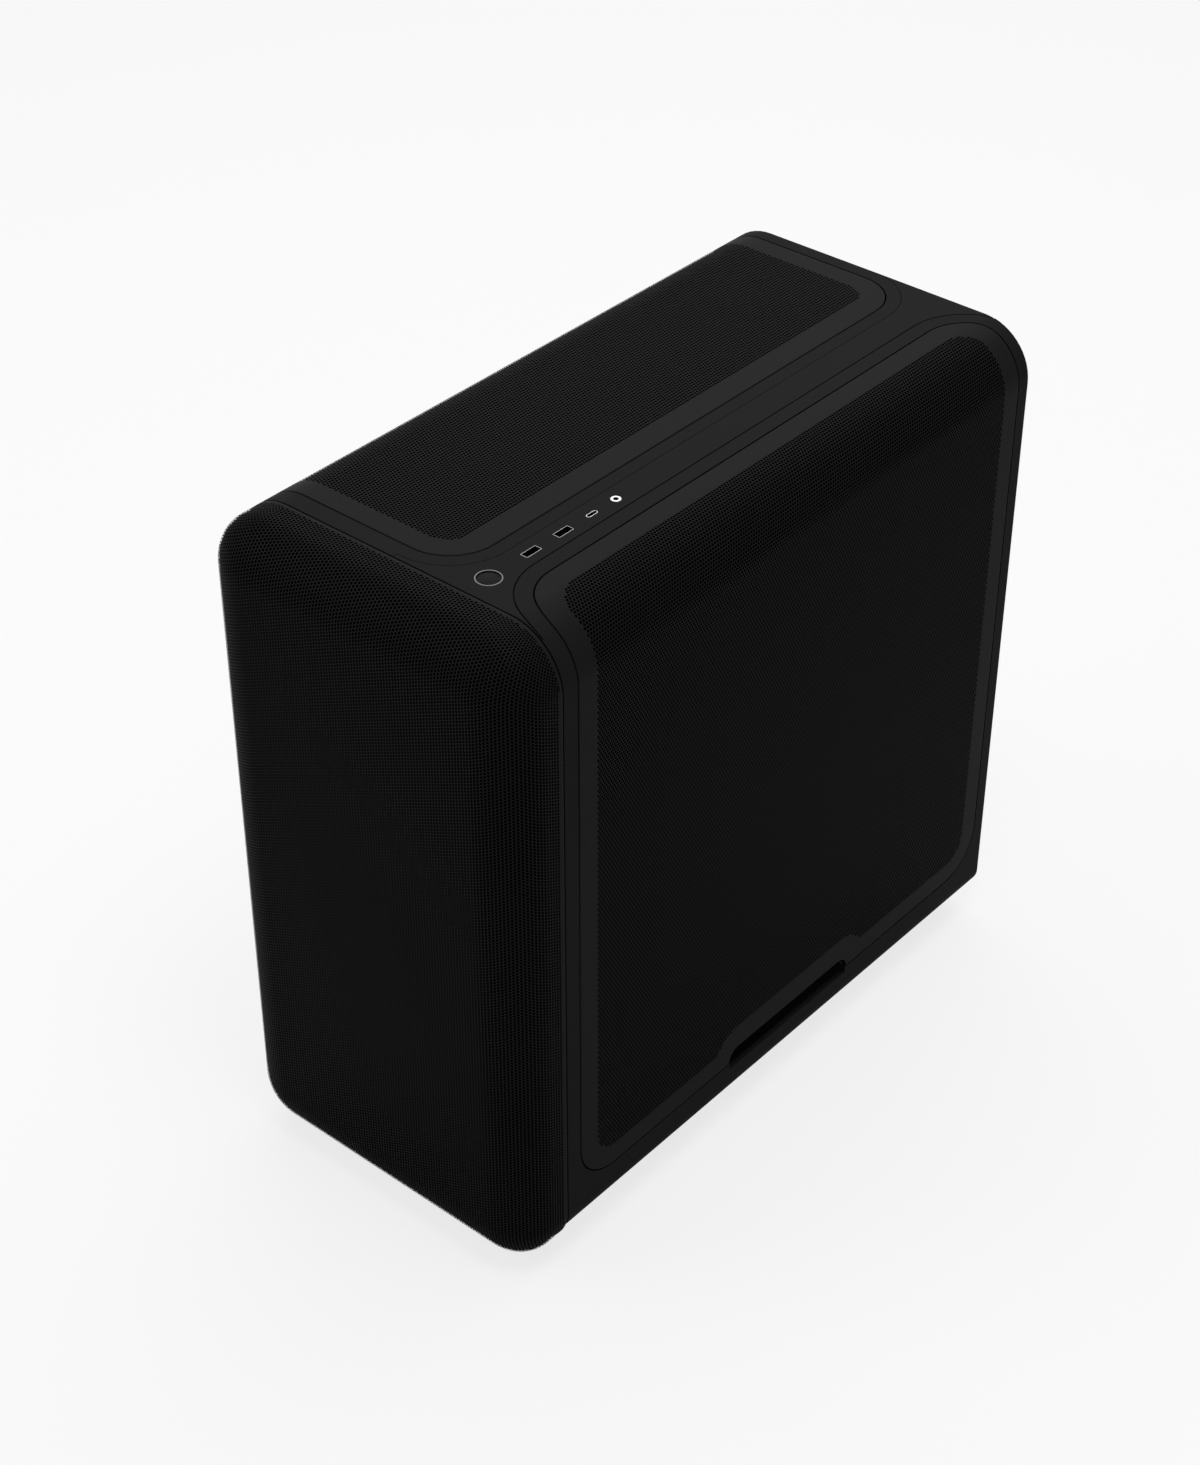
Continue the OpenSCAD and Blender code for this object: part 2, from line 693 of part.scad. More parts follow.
// The front panel as a closed form, inset from its outer face
module pillow(inset, below = 0) {
    mid_z = case_h / 2;
    top_in = half_w - top_r;
    low_in = half_w - front_low_r;
    translate([0, y_seam, 0]) {
        along_z(front_low_z + front_low_r, case_h - top_r)
            mirror([0, 1]) pillow_section(-half_w, half_w, inset, below);
        along_x(-top_in, top_in) intersection() {
            rotate(90) pillow_section(front_low_z, case_h, inset, below);
            translate([-case_h, mid_z]) square(2 * case_h);
        }
        along_x(-low_in, low_in) intersection() {
            rotate(90) pillow_section(front_low_z, case_h, inset, below);
            translate([-case_h, mid_z - 2 * case_h]) square(2 * case_h);
        }
        for (side = [0, 1]) mirror([side, 0, 0]) {
            translate([top_in, 0, case_h - top_r]) rotate([90, 0, 0]) pillow_corner(top_r, inset, below);
            translate([low_in, 0, front_low_z + front_low_r]) rotate([90, 0, 0]) mirror([0, 1, 0])
                pillow_corner(front_low_r, inset, below);
        }
    }
}

// Deep-drawn perforated front
module front_panel() {
    color("#1c1c1c") difference() {
        pillow(0);
        pillow(sheet_t, 2);
        box([-case_w, y_seam - front_seam / 2, -1], [case_w, y_seam + reach, case_h + reach]);
        along_y(y_seam - front_bulge - 1, y_seam - front_bulge + 3)
            vents([-half_w + round_in + front_vent_d / 2, front_low_z + front_low_r + front_vent_d / 2],
                [half_w - round_in - front_vent_d / 2, case_h - top_r - front_vent_d / 2],
                front_vent_pitch, front_vent_d);
    }
}

// Outline of the front panel seen from the front, inset from its flank
module front_outline(inset) {
    soft_rect([-half_w + inset, front_low_z + inset], [half_w - inset, case_h - inset],
        [front_low_r - inset, front_low_r - inset, top_r - inset, top_r - inset]);
}

// Moulded carrier ring inside the front panel's flank
module front_carrier() {
    skin = sheet_t + seat_gap;
    color("#151515") {
        along_y(y_seam - front_flank - 1, y_seam - front_seam / 2) difference() {
            front_outline(skin);
            front_outline(skin + 2);
        }
        along_y(y_seam - 7, y_seam - 4) difference() {
            front_outline(skin + 1);
            front_outline(24);
        }
    }
}

// Framed nylon filter in front of the fans
module front_filter() {
    back = y_seam - front_flank - 1 - seat_gap;
    tall = case_h - front_low_z;
    color("#0e0e0e") {
        along_y(back - 2.4, back) difference() {
            front_outline(3);
            front_outline(12);
        }
        along_y(back - 1.4, back - 0.8) front_outline(6);
        for (z = [front_low_z + 0.334 * tall, front_low_z + 0.667 * tall]) {
            box([-half_w + 8, back - 2, z - 3], [half_w - 8, back - 0.4, z + 3]);
        }
    }
}

// Pins of the front panel, seated in sleeves behind the front wall
module front_panel_studs() {
    color("#8a8a8a") at_front_studs(y_seam - 4) {
        cylinder(r = 3, h = 1);
        cylinder(r = stud_r, h = front_wall_in + 6.5);
        translate([0, 0, front_wall_in + 6.5]) sphere(r = stud_ball_r);
    }
}

module front_panel_sockets() color("#181818") at_front_studs(front_in_y) ball_socket();

// Floor pan, slotted over the bottom filter
module floor_pan() {
    wide = half_w - low_r;
    slot = [10, 34];
    pitch = [20, 44];
    y0 = filter_y1 - filter_l + 13.1;
    rows = floor((filter_l - 20) / pitch.y);
    columns = floor((filter_w / 2 - 14) / pitch.x);
    color("#202020") difference() {
        box([-wide, front_in_y + seat_gap, floor_z], [wide, rear_in_y - seat_gap, floor_z + steel_t]);
        for (i = [-columns:columns], j = [0:rows - 1]) {
            at = [i * pitch.x - slot.x / 2, y0 + j * pitch.y];
            box([at.x, at.y, floor_z - 1], [at.x + slot.x, at.y + slot.y, floor_z + 3]);
        }
    }
}

// Port aperture of the motherboard, power supply opening, slots and fan grille in one rear wall
io_x1 = tray_x - standoff_h;
io_size = [44.45, 158.75];
psu_x0 = -half_w + 24.25;
psu_z0 = floor_z + 3.8;
slot_x = [tray_x - 116.6, tray_x - 10];
slot_open_h = 13;
shelf_x = slot_x[0] + 1.6;
slot_count = floor((slot_top_z - shroud_z - slot_pitch / 2 - steel_t) / slot_pitch) + 1;
slot_zs = [for (i = [0:slot_count - 1]) slot_top_z - i * slot_pitch];
slot_screw_out = 5.6;
slit = [14, 6];
slit_pitch = [18, 30];
slit_x0 = tray_x + 8;
slit_z0 = shroud_z + 28;
slit_rows = floor((case_h - top_r - 35 - slit_z0) / slit_pitch.y);

// A cut through the rear wall between two corners seen from the rear
module rear_cut(lo, hi) box([lo.x, rear_in_y - 1, lo.y], [hi.x, rear_wall_y + 1, hi.y]);

module rear_wall() {
    shelf_low = slot_zs[slot_count - 1] - slot_pitch / 2;
    shelf_high = slot_zs[0] + slot_pitch / 2;
    color("#202020") {
        difference() {
            along_y(rear_in_y, rear_wall_y) body_outline(inner);
            rear_cut([io_x1 - io_size.x, board_top_z - io_size.y], [io_x1, board_top_z]);
            for (z = slot_zs) rear_cut([slot_x[0], z - slot_open_h / 2], [slot_x[1], z + slot_open_h / 2]);
            psu_opening();
            translate([rear_fan_x, rear_wall_y + 1, rear_fan_z]) rotate([90, 0, 0]) {
                linear_extrude(steel_t + 2) grille();
                fan_holes(fan_hole_r, steel_t + 2);
            }
            for (i = [0:2], j = [0:slit_rows]) {
                at = [slit_x0 + i * slit_pitch.x, slit_z0 + j * slit_pitch.y];
                rear_cut(at, at + slit);
            }
        }
        difference() {
            box([shelf_x, rear_in_y, shelf_low], [shelf_x + steel_t, rear_wall_y + 11, shelf_high]);
            for (z = slot_zs) {
                translate([shelf_x - 1, rear_wall_y + slot_screw_out, z])
                    rotate([0, 90, 0]) cylinder(r = 1.6, h = 4);
            }
        }
    }
}

// Opening for a power supply, with tabs at its four screws
module psu_opening() {
    psu_w = 150;
    psu_h = 86;
    tab = [8, 8];
    holes = [[30, 6], [144, 16], [6, 80], [144, 80]];
    at = [psu_x0, psu_z0];
    difference() {
        rear_cut(at + [4, 3], at + [psu_w - 4, psu_h - 3]);
        for (h = holes) rear_cut(at + h - tab, at + h + tab);
    }
    for (h = holes) {
        translate([at.x + h.x, rear_wall_y + 1, at.y + h.y])
            rotate([90, 0, 0]) cylinder(r = 2, h = steel_t + 2);
    }
}

// Stamped grille: rings of slots parted by four spokes
module grille() {
    rings = 6;
    pitch = (fan_bore / 2 - 6) / rings;
    difference() {
        for (i = [1:rings]) {
            difference() {
                circle(6 + i * pitch);
                circle(6 + i * pitch - 5);
            }
        }
        for (a = [45, 135]) rotate(a) square([fan_bore + 10, 5], center = true);
    }
}

module fan_holes(r, h) {
    out = fan_hole_pitch / 2;
    for (x = [-out, out], y = [-out, out]) translate([x, y, 0]) cylinder(r = r, h = h);
}

// Front wall with three fan openings and windows on the cable side
module front_wall() {
    window_h = 46;
    window_pitch = 60;
    window_z0 = 80;
    window_rows = floor((case_h - top_r - 35 - window_z0) / window_pitch);
    window_x = [tray_x - 4, half_w - 31.25];
    board_notch = board_half + 2;
    color("#202020") difference() {
        along_y(front_wall_y, front_in_y) body_outline(inner);
        for (z = fan_zs) {
            translate([fan_x, front_in_y + 1, z]) rotate([90, 0, 0]) {
                cylinder(d = fan_bore, h = steel_t + 2);
                fan_holes(fan_hole_r, steel_t + 2);
            }
        }
        for (i = [0:window_rows]) {
            z = window_z0 + i * window_pitch;
            box([window_x[0], front_wall_y - 1, z], [window_x[1], front_in_y + 1, z + window_h]);
        }
        box([port_x - board_notch, front_wall_y - 1, board_z - 5],
            [port_x + board_notch, front_in_y + 1, case_h]);
        for (x = front_stud_xs, z = front_stud_zs) {
            translate([x, front_in_y + 1, z]) rotate([90, 0, 0]) cylinder(r = socket_r, h = steel_t + 2);
        }
    }
}

// Roof plate with two fan places, folded up at both sides
roof_lip = 8;
roof_x = [seat_gap - inner_reach(roof_z + roof_lip), port_x + board_half + 3];
roof_fan_ys = [front_in_y + 133.9, front_in_y + 273.9];

module roof_plate() {
    y0 = front_in_y + seat_gap;
    y1 = rear_in_y - seat_gap;
    color("#202020") {
        difference() {
            box([roof_x[0], y0, roof_z], [roof_x[1], y1, roof_z + steel_t]);
            for (y = roof_fan_ys) {
                translate([fan_x, y, roof_z - 1]) {
                    cylinder(d = fan_bore, h = steel_t + 2);
                    fan_holes(fan_hole_r, steel_t + 2);
                }
            }
        }
        box([roof_x[1] - steel_t, y0, roof_z + 0.5], [roof_x[1], y1, case_h - frame_t - seat_gap]);
        box([roof_x[0], y0, roof_z + 0.5], [roof_x[0] + steel_t, y1, roof_z + roof_lip]);
    }
}

// Motherboard tray with a cut-out behind the processor and two cable slots
board_y1 = rear_in_y - 1;
board_l = 243.8;
cable_slot_in = 38;
cable_slot_land = 40;
cable_slot = [24, (board_top_z - shroud_z - 2 * cable_slot_in - cable_slot_land) / 2];
cable_slot_y = board_y1 - board_l - 13.1 - cable_slot.x;
cable_slot_z = shroud_z + cable_slot_in;
ssd_size = [92, 76];
ssd_land = 7;
tray_land = 4;
tray_y0 = cable_slot_y - ssd_land - ssd_size.x - tray_land;
ssd_places = [for (up = [28, 128]) [tray_y0 + tray_land, shroud_z + up]];
cable_slots = [[cable_slot_y, cable_slot_z], [cable_slot_y, cable_slot_z + cable_slot.y + cable_slot_land]];
cpu_window = [[board_y1 - 153.9, board_top_z - 148], [board_y1 - 33.9, board_top_z - 33]];
top_slot = [50, 16];
top_slot_ys = [board_y1 - 213.9, board_y1 - 133.9];
board_holes_y = [10.16, 165.1, 237.49];
board_holes_z = [16.51, 140.97, 298.45];
standoff_ys = [for (d = board_holes_y) board_y1 - d];
standoff_zs = [for (d = board_holes_z) if (board_top_z - d > shroud_z + 6) board_top_z - d];

module motherboard_tray() {
    color("#222222") difference() {
        box([tray_x, tray_y0, shroud_z + seat_gap],
            [tray_x + steel_t, rear_in_y - seat_gap, roof_z - seat_gap]);
        along_x(tray_x - 1, tray_x + steel_t + 1) {
            soft_rect(cpu_window[0], cpu_window[1], [6, 6, 6, 6]);
            for (s = cable_slots) soft_rect(s, s + cable_slot, [10, 10, 10, 10]);
            for (y = top_slot_ys) translate([y, board_top_z + 8]) soft_rect([0, 0], top_slot, [6, 6, 6, 6]);
            for (b = ssd_places) translate(b + [ssd_size.x / 2, ssd_size.y / 2]) circle(1.7);
        }
    }
}

// Rubber lips in the cable slots
module cable_grommets() {
    lip = 3;
    color("#0a0a0a") for (s = cable_slots) {
        difference() {
            union() {
                along_x(tray_x - 1.2, tray_x - 0.1)
                    soft_rect(s - [lip, lip], s + cable_slot + [lip, lip], [13, 13, 13, 13]);
                along_x(tray_x - 1, tray_x + steel_t + 1)
                    soft_rect(s + [0.2, 0.2], s + cable_slot - [0.2, 0.2], [9.8, 9.8, 9.8, 9.8]);
            }
            along_x(tray_x - 2, tray_x + steel_t + 2)
                soft_rect(s + [2, 2], s + cable_slot - [2, 2], [8, 8, 8, 8]);
        }
    }
}

// Hexagonal brass standoffs with threaded holes
module standoffs() {
    color("#b08d4a") for (y = standoff_ys, z = standoff_zs) {
        translate([tray_x - standoff_h, y, z]) rotate([0, 90, 0]) difference() {
            cylinder(r = 2.9, h = standoff_h, $fn = 6);
            translate([0, 0, -1]) cylinder(r = standoff_hole_r, h = standoff_h + 2, $fn = 32);
        }
    }
}

// Power supply shroud: slotted top and a skirt on the left
module psu_shroud() {
    skirt_z = floor_z + steel_t + seat_gap;
    x0 = seat_gap - inner_low_reach(skirt_z);
    y0 = tray_y0;
    y1 = rear_in_y - seat_gap;
    vent = [6, 50];
    pitch = [24, 66];
    first = [x0 + 19, rear_in_y - 214.9];
    cable_cut = [[tray_x - 34, tray_y0 + 20], [tray_x - 10, tray_y0 + 90]];
    color("#222222") {
        difference() {
            box([x0, y0, shroud_z - steel_t], [tray_x + steel_t, y1, shroud_z]);
            along_z(shroud_z - 3, shroud_z + 1) {
                for (i = [0:4], j = [0:2]) translate(first + [i * pitch.x, j * pitch.y]) square(vent);
                translate(cable_cut[0]) square(cable_cut[1] - cable_cut[0]);
            }
        }
        box([x0, y0, skirt_z], [x0 + steel_t, y1, shroud_z - 0.5]);
    }
}

// Removable covers of the expansion slots, each folded over the screw shelf
module slot_covers() {
    cover_y = rear_in_y - seat_gap - steel_t;
    tab_x = shelf_x - seat_gap - steel_t;
    color("#2a2a2a") for (z = slot_zs) difference() {
        union() {
            box([tab_x, cover_y, z - 5.5], [slot_x[1] + 4, cover_y + steel_t, z + 5.5]);
            box([tab_x, cover_y, z - 5.5], [tab_x + steel_t, rear_wall_y + 10.5, z + 5.5]);
        }
        for (i = [0:5]) {
            translate([slot_x[0] + 14 + i * 15, cover_y + 2, z])
                rotate([90, 0, 0]) cylinder(r = 3, h = 4, $fn = 6);
        }
        translate([tab_x - 1, rear_wall_y + slot_screw_out, z]) rotate([0, 90, 0]) cylinder(r = 2, h = 3);
    }
}

module thumbscrew(head_r, head_h, shank_r, shank_l) {
    cylinder(r = head_r, h = head_h);
    translate([0, 0, head_h - 0.01]) cylinder(r = shank_r, h = shank_l);
}

// Screws that clamp the slot covers to the shelf, driven along +X
module slot_screws() {
    tab_x = shelf_x - seat_gap - steel_t;
    color("#3a3a3a") for (z = slot_zs) {
        translate([tab_x - 5.05, rear_wall_y + slot_screw_out, z])
            rotate([0, 90, 0]) thumbscrew(4.6, 5, 1.5, 5);
    }
}

// Two-bay cage for large drives, with runners under each tray
cage_x = [tray_x - 154, tray_x - 4];
cage_y = [tray_y0 + 10, tray_y0 + 122];
bay_pitch = 35;
bay_zs = [floor_z + 5.8, floor_z + 5.8 + bay_pitch];
cage_top_z = bay_zs[1] + 36;

module drive_cage() {
    z0 = floor_z + steel_t;
    color("#262626") {
        box([cage_x[0], cage_y[0], cage_top_z - steel_t], [cage_x[1], cage_y[1], cage_top_z]);
        for (y = [cage_y[0], cage_y[1] - steel_t]) {
            box([cage_x[0], y, z0], [cage_x[1], y + steel_t, cage_top_z - 0.5]);
        }
        for (z = bay_zs) {
            box([cage_x[0], cage_y[0] + 0.5, z - 2], [cage_x[1], cage_y[0] + 7, z - seat_gap]);
            box([cage_x[0], cage_y[1] - 7, z - 2], [cage_x[1], cage_y[1] - 0.5, z - seat_gap]);
        }
    }
}

// Open tub for a drive, with a pull bar at its right end
module drive_tray(z) {
    y = [cage_y[0] + steel_t + 0.8, cage_y[1] - steel_t - 0.8];
    mid_y = (y[0] + y[1]) / 2;
    wall = 2;
    window_l = 28;
    window_pitch = 42;
    window_x = cage_x[0] + 15;
    color("#1a1a1a") difference() {
        union() {
            box([cage_x[0] + 3, y[0], z], [cage_x[1] + 1, y[1], z + 28]);
            box([cage_x[1] + 0.5, y[0], z], [cage_x[1] + 5, y[1], z + 31]);
        }
        box([cage_x[0] + 3 + wall, y[0] + wall, z + wall], [cage_x[1] - 2, y[1] - wall, z + 40]);
        box([cage_x[1] - 3, mid_y - 25, z + 14], [cage_x[1] + 8, mid_y + 25, z + 24]);
        for (i = [0:2]) {
            x = window_x + i * window_pitch;
            box([x, y[0] + 20, z - 1], [x + window_l, y[1] - 20, z + 5]);
        }
    }
}

// Shallow brackets for small drives on the cable side of the tray
module ssd_bracket(at) {
    x0 = tray_x + steel_t + seat_gap;
    color("#262626") difference() {
        along_x(x0, x0 + 8) soft_rect(at, at + ssd_size, [4, 4, 4, 4]);
        box([x0 + 1.2, at.x + 1.2, at.y + 1.2], [x0 + 10, at.x + ssd_size.x - 1.2, at.y + ssd_size.y - 1.2]);
        along_x(x0 - 1, x0 + 3) {
            translate(at + ssd_size / 2) circle(1.9);
            for (i = [-1, 1], j = [-1, 1]) translate(at + ssd_size / 2 + [i * 30, j * 24]) circle(5);
        }
    }
}

module ssd_screws() {
    x0 = tray_x + steel_t + seat_gap + 1.2;
    color("#3a3a3a") for (b = ssd_places) {
        mid = b + ssd_size / 2;
        translate([x0 + 5.05, mid.x, mid.y]) rotate([0, -90, 0]) thumbscrew(5, 5, 1.5, 5);
    }
}

// Square fan frame round a duct, drawn with its open side at z = 0
module fan_frame() {
    half = fan_size / 2;
    duct_r = half - 2.5;
    motor_r = 21;
    color("#161616") {
        difference() {
            union() {
                for (z = [0, fan_depth - 4]) {
                    along_z(z, z + 4) soft_rect([-half, -half], [half, half], [9, 9, 9, 9]);
                }
                cylinder(r = half - 0.1, h = fan_depth, $fn = 96);
                fan_holes(4.6, fan_depth);
            }
            translate([0, 0, -1]) cylinder(r = duct_r, h = fan_depth + 2, $fn = 96);
            translate([0, 0, -1]) fan_holes(2.2, fan_depth + 2);
        }
        difference() {
            union() {
                translate([0, 0, fan_depth - 4]) cylinder(r = motor_r, h = 4);
                translate([0, 0, 7]) cylinder(r = 14, h = fan_depth - 8);
                for (a = [45:90:315]) {
                    rotate(a) box([motor_r - 2, -2, fan_depth - 3.5], [duct_r + 1, 2, fan_depth]);
                }
            }
            translate([0, 0, 6]) cylinder(r = shaft_r + 0.05, h = fan_depth);
        }
    }
}

shaft_r = 1.5;

// Rotor with a hollow hub, swept helical blades and a shaft
module fan_rotor() {
    hub_r = 20;
    tip_r = fan_size / 2 - 4;
    color("#1d1d1d") {
        difference() {
            translate([0, 0, 2]) cylinder(r = hub_r, h = 17);
            translate([0, 0, 4]) cylinder(r = hub_r - 2.5, h = 20);
        }
        translate([0, 0, 3]) cylinder(r = shaft_r, h = fan_depth - 7);
        for (i = [0:fan_blades - 1]) {
            rotate(i * 360 / fan_blades) translate([0, 0, 4])
                linear_extrude(14, twist = -34, slices = 4, $fn = 8) blade_plan(hub_r - 1, tip_r);
        }
    }
}

// One blade cut square to the shaft: a thin strip that sweeps back towards its tip
module blade_plan(r0, r1) {
    steps = 4;
    sweep = 16;
    front = [for (i = [0:steps]) polar(r0 + (r1 - r0) * i / steps, sweep * pow(i / steps, 2))];
    back = [for (i = [steps:-1:0])
        polar(r0 + (r1 - r0) * i / steps, sweep * pow(i / steps, 2) + 5.5 - 3.2 * i / steps)];
    polygon(concat(front, back));
}

function polar(r, a) = r * [cos(a), sin(a)];

module facing_rear(x, y, z) translate([x, y, z]) rotate([-90, 0, 0]) children();

module fan_screws() {
    color("#3a3a3a") {
        for (z = fan_zs) translate([fan_x, front_in_y, z]) rotate([90, 0, 0]) fan_screw_set();
        translate([rear_fan_x, rear_wall_y, rear_fan_z]) rotate([90, 0, 0]) fan_screw_set();
    }
}

module fan_screw_set() {
    for (x = [-1, 1], y = [-1, 1]) {
        translate([x * fan_hole_pitch / 2, y * fan_hole_pitch / 2, -2.05]) thumbscrew(3.8, 2, 2.05, 10);
    }
}

// Feet: a plate the length of the foot and a block up to the body; the front ones end in a low toe
plate_top = front_low_z - 0.7;

module foot(side, y0, block_y0) {
    x = side > 0 ? [foot_out - foot_w, foot_out] : [-foot_out, foot_w - foot_out];
    r = 8;
    color("#141414") {
        along_z(pad_t - 1, plate_top) soft_rect([x[0], y0], [x[1], y0 + foot_l], [r, r, r, r]);
        along_z(plate_top - 1, belly_z) soft_rect([x[0], block_y0], [x[1], y0 + foot_l], [3, 3, r, r]);
    }
}

foot_front_y = y_seam - toe_out;
foot_rear_y = y_rear - foot_rear_in - foot_l;

module foot_front_left() foot(-1, foot_front_y, y_seam + 2);
module foot_front_right() foot(1, foot_front_y, y_seam + 2);
module foot_rear_left() foot(-1, foot_rear_y, foot_rear_y);
module foot_rear_right() foot(1, foot_rear_y, foot_rear_y);

// Rubber pads under the feet
module foot_pads() {
    m = 1.5;
    r = 6.5;
    color("#0a0a0a") for (side = [-1, 1], y0 = [foot_front_y, foot_rear_y]) {
        x = side > 0 ? [foot_out - foot_w, foot_out] : [-foot_out, foot_w - foot_out];
        along_z(0, pad_t - 1) soft_rect([x[0] + m, y0 + m], [x[1] - m, y0 + foot_l - m], [r, r, r, r]);
    }
}

// Bottom filter: a framed mesh that slides out to the rear
module bottom_filter() {
    lo = [-filter_w / 2, filter_y1 - filter_l];
    hi = [filter_w / 2, filter_y1];
    color("#121212") {
        along_z(filter_z, filter_z + filter_t) difference() {
            soft_rect(lo, hi, [4, 4, 4, 4]);
            translate(lo + [9, 9]) square(hi - lo - [18, 18]);
        }
        along_z(filter_z + 1, filter_z + 1.6) translate(lo + [6, 6]) square(hi - lo - [12, 12]);
        for (i = [1:3]) {
            y = lo.y + i * filter_l / 4;
            box([lo.x + 6, y - 2, filter_z + 0.4], [hi.x - 6, y + 2, filter_z + 2.4]);
        }
        box([-24, hi.y - 0.5, filter_z], [24, hi.y + 8, filter_z + filter_t]);
    }
}

// Rails that hold the bottom filter under the body
module filter_rails() {
    x0 = filter_w / 2 + 0.5;
    y0 = filter_y1 - filter_l - 4;
    color("#161616") for (side = [0, 1]) mirror([side, 0, 0]) {
        box([x0, y0, filter_z - 1.8], [x0 + 1.6, filter_y1 - 6, belly_z]);
        box([x0 - 4, y0, filter_z - 1.8], [x0 + 1, filter_y1 - 6, filter_z - seat_gap]);
        box([x0 - 4, y0, filter_z + filter_t + seat_gap], [x0 + 1, filter_y1 - 6, filter_z + filter_t + 1.6]);
    }
}

outer_frame();
port_strip();
power_button();
button_ring();
power_switch();
usb_a_port(usb_1_in);  // usb_a_port_1
usb_a_port(usb_2_in);  // usb_a_port_2
usb_c_port();
audio_jack();
port_tongues();
port_board();
right_panel();
right_filter();
right_panel_studs();
right_panel_sockets();
left_panel();
left_filter();
left_panel_studs();
left_panel_sockets();
top_panel();
top_filter();
top_panel_studs();
top_panel_sockets();
front_panel();
front_carrier();
front_filter();
front_panel_studs();
front_panel_sockets();
floor_pan();
rear_wall();
front_wall();
roof_plate();
motherboard_tray();
psu_shroud();
standoffs();
slot_covers();
slot_screws();
cable_grommets();
drive_cage();
drive_tray(bay_zs[0]);  // drive_tray_1
drive_tray(bay_zs[1]);  // drive_tray_2
ssd_bracket(ssd_places[0]);  // ssd_bracket_1
ssd_bracket(ssd_places[1]);  // ssd_bracket_2
ssd_screws();
facing_rear(fan_x, front_fan_y, fan_zs[0]) fan_frame();  // front_fan_frame_1
facing_rear(fan_x, front_fan_y, fan_zs[1]) fan_frame();  // front_fan_frame_2
facing_rear(fan_x, front_fan_y, fan_zs[2]) fan_frame();  // front_fan_frame_3
facing_rear(fan_x, front_fan_y, fan_zs[0]) fan_rotor();  // front_fan_rotor_1
facing_rear(fan_x, front_fan_y, fan_zs[1]) fan_rotor();  // front_fan_rotor_2
facing_rear(fan_x, front_fan_y, fan_zs[2]) fan_rotor();  // front_fan_rotor_3
facing_rear(rear_fan_x, rear_fan_y, rear_fan_z) fan_frame();  // rear_fan_frame
facing_rear(rear_fan_x, rear_fan_y, rear_fan_z) fan_rotor();  // rear_fan_rotor
fan_screws();
foot_front_left();
foot_front_right();
foot_rear_left();
foot_rear_right();
foot_pads();
bottom_filter();
filter_rails();
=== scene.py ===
import math

import bpy
import numpy as np
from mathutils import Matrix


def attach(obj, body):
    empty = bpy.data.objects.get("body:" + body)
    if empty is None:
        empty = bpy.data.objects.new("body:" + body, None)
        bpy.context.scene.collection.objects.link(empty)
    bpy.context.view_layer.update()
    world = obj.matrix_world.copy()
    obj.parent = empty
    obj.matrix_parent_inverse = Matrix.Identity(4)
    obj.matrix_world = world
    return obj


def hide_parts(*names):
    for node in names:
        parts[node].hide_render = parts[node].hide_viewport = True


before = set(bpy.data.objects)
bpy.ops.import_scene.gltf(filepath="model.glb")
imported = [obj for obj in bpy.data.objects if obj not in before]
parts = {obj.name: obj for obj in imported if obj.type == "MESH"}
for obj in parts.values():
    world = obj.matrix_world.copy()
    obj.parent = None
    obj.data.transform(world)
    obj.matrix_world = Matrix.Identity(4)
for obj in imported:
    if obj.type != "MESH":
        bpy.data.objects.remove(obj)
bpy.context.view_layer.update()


# Studio
# A pale seamless floor in a white surround. One large soft box hangs high behind the case and makes the top
# its lightest side. A weaker one at the front left and a small one overhead light the rounded edges.

def hex_rgb(code):
    """An sRGB hex colour as the linear RGBA that a shader socket takes."""
    levels = [int(code[i:i + 2], 16) / 255 for i in (1, 3, 5)]
    return tuple(c / 12.92 if c <= 0.04045 else ((c + 0.055) / 1.055) ** 2.4 for c in levels) + (1.0,)


def add(tree, kind, inputs=None, **settings):
    """Adds one node: settings are its properties, inputs are values or the sockets that feed it."""
    made = tree.nodes.new(kind)
    for name, value in settings.items():
        setattr(made, name, value)
    for name, value in (inputs or {}).items():
        if isinstance(value, bpy.types.NodeSocket):
            tree.links.new(value, made.inputs[name])
        else:
            made.inputs[name].default_value = value
    return made


look_down, look_left = 36.62, 40.57
photo_camera = bpy.data.cameras.new("photo_camera")
photo_camera.sensor_fit = "VERTICAL"
photo_camera.sensor_height = 36.0
photo_camera.lens = 68.70
photo_camera.clip_end = 50.0
camera = bpy.data.objects.new("photo_camera", photo_camera)
camera.location = (0.9807, -1.1775, 1.3908)
camera.rotation_euler = (math.radians(90 - look_down), 0, math.radians(look_left))
bpy.context.scene.collection.objects.link(camera)
bpy.context.scene.camera = camera
bpy.context.scene.view_settings.view_transform = "Standard"

# The surround lights the case with a third of the white that the camera, a shiny surface or glass sees.
fill_light = 0.33
surround = bpy.data.worlds.new("white_surround")
surround.use_nodes = True
sky = surround.node_tree
sky.nodes.clear()
ray = add(sky, "ShaderNodeLightPath").outputs
mirrored = add(sky, "ShaderNodeMath", {0: ray["Is Camera Ray"], 1: ray["Is Glossy Ray"]},
               operation="MAXIMUM")
seen = add(sky, "ShaderNodeMath", {0: mirrored.outputs[0], 1: ray["Is Transmission Ray"]},
           operation="MAXIMUM")
strength = add(sky, "ShaderNodeMapRange",
               {"Value": seen.outputs[0], "To Min": fill_light, "To Max": 1.0})
white = add(sky, "ShaderNodeBackground",
            {"Color": hex_rgb("#fbfbfb"), "Strength": strength.outputs["Result"]})
add(sky, "ShaderNodeOutputWorld", {"Surface": white.outputs[0]})
bpy.context.scene.world = surround


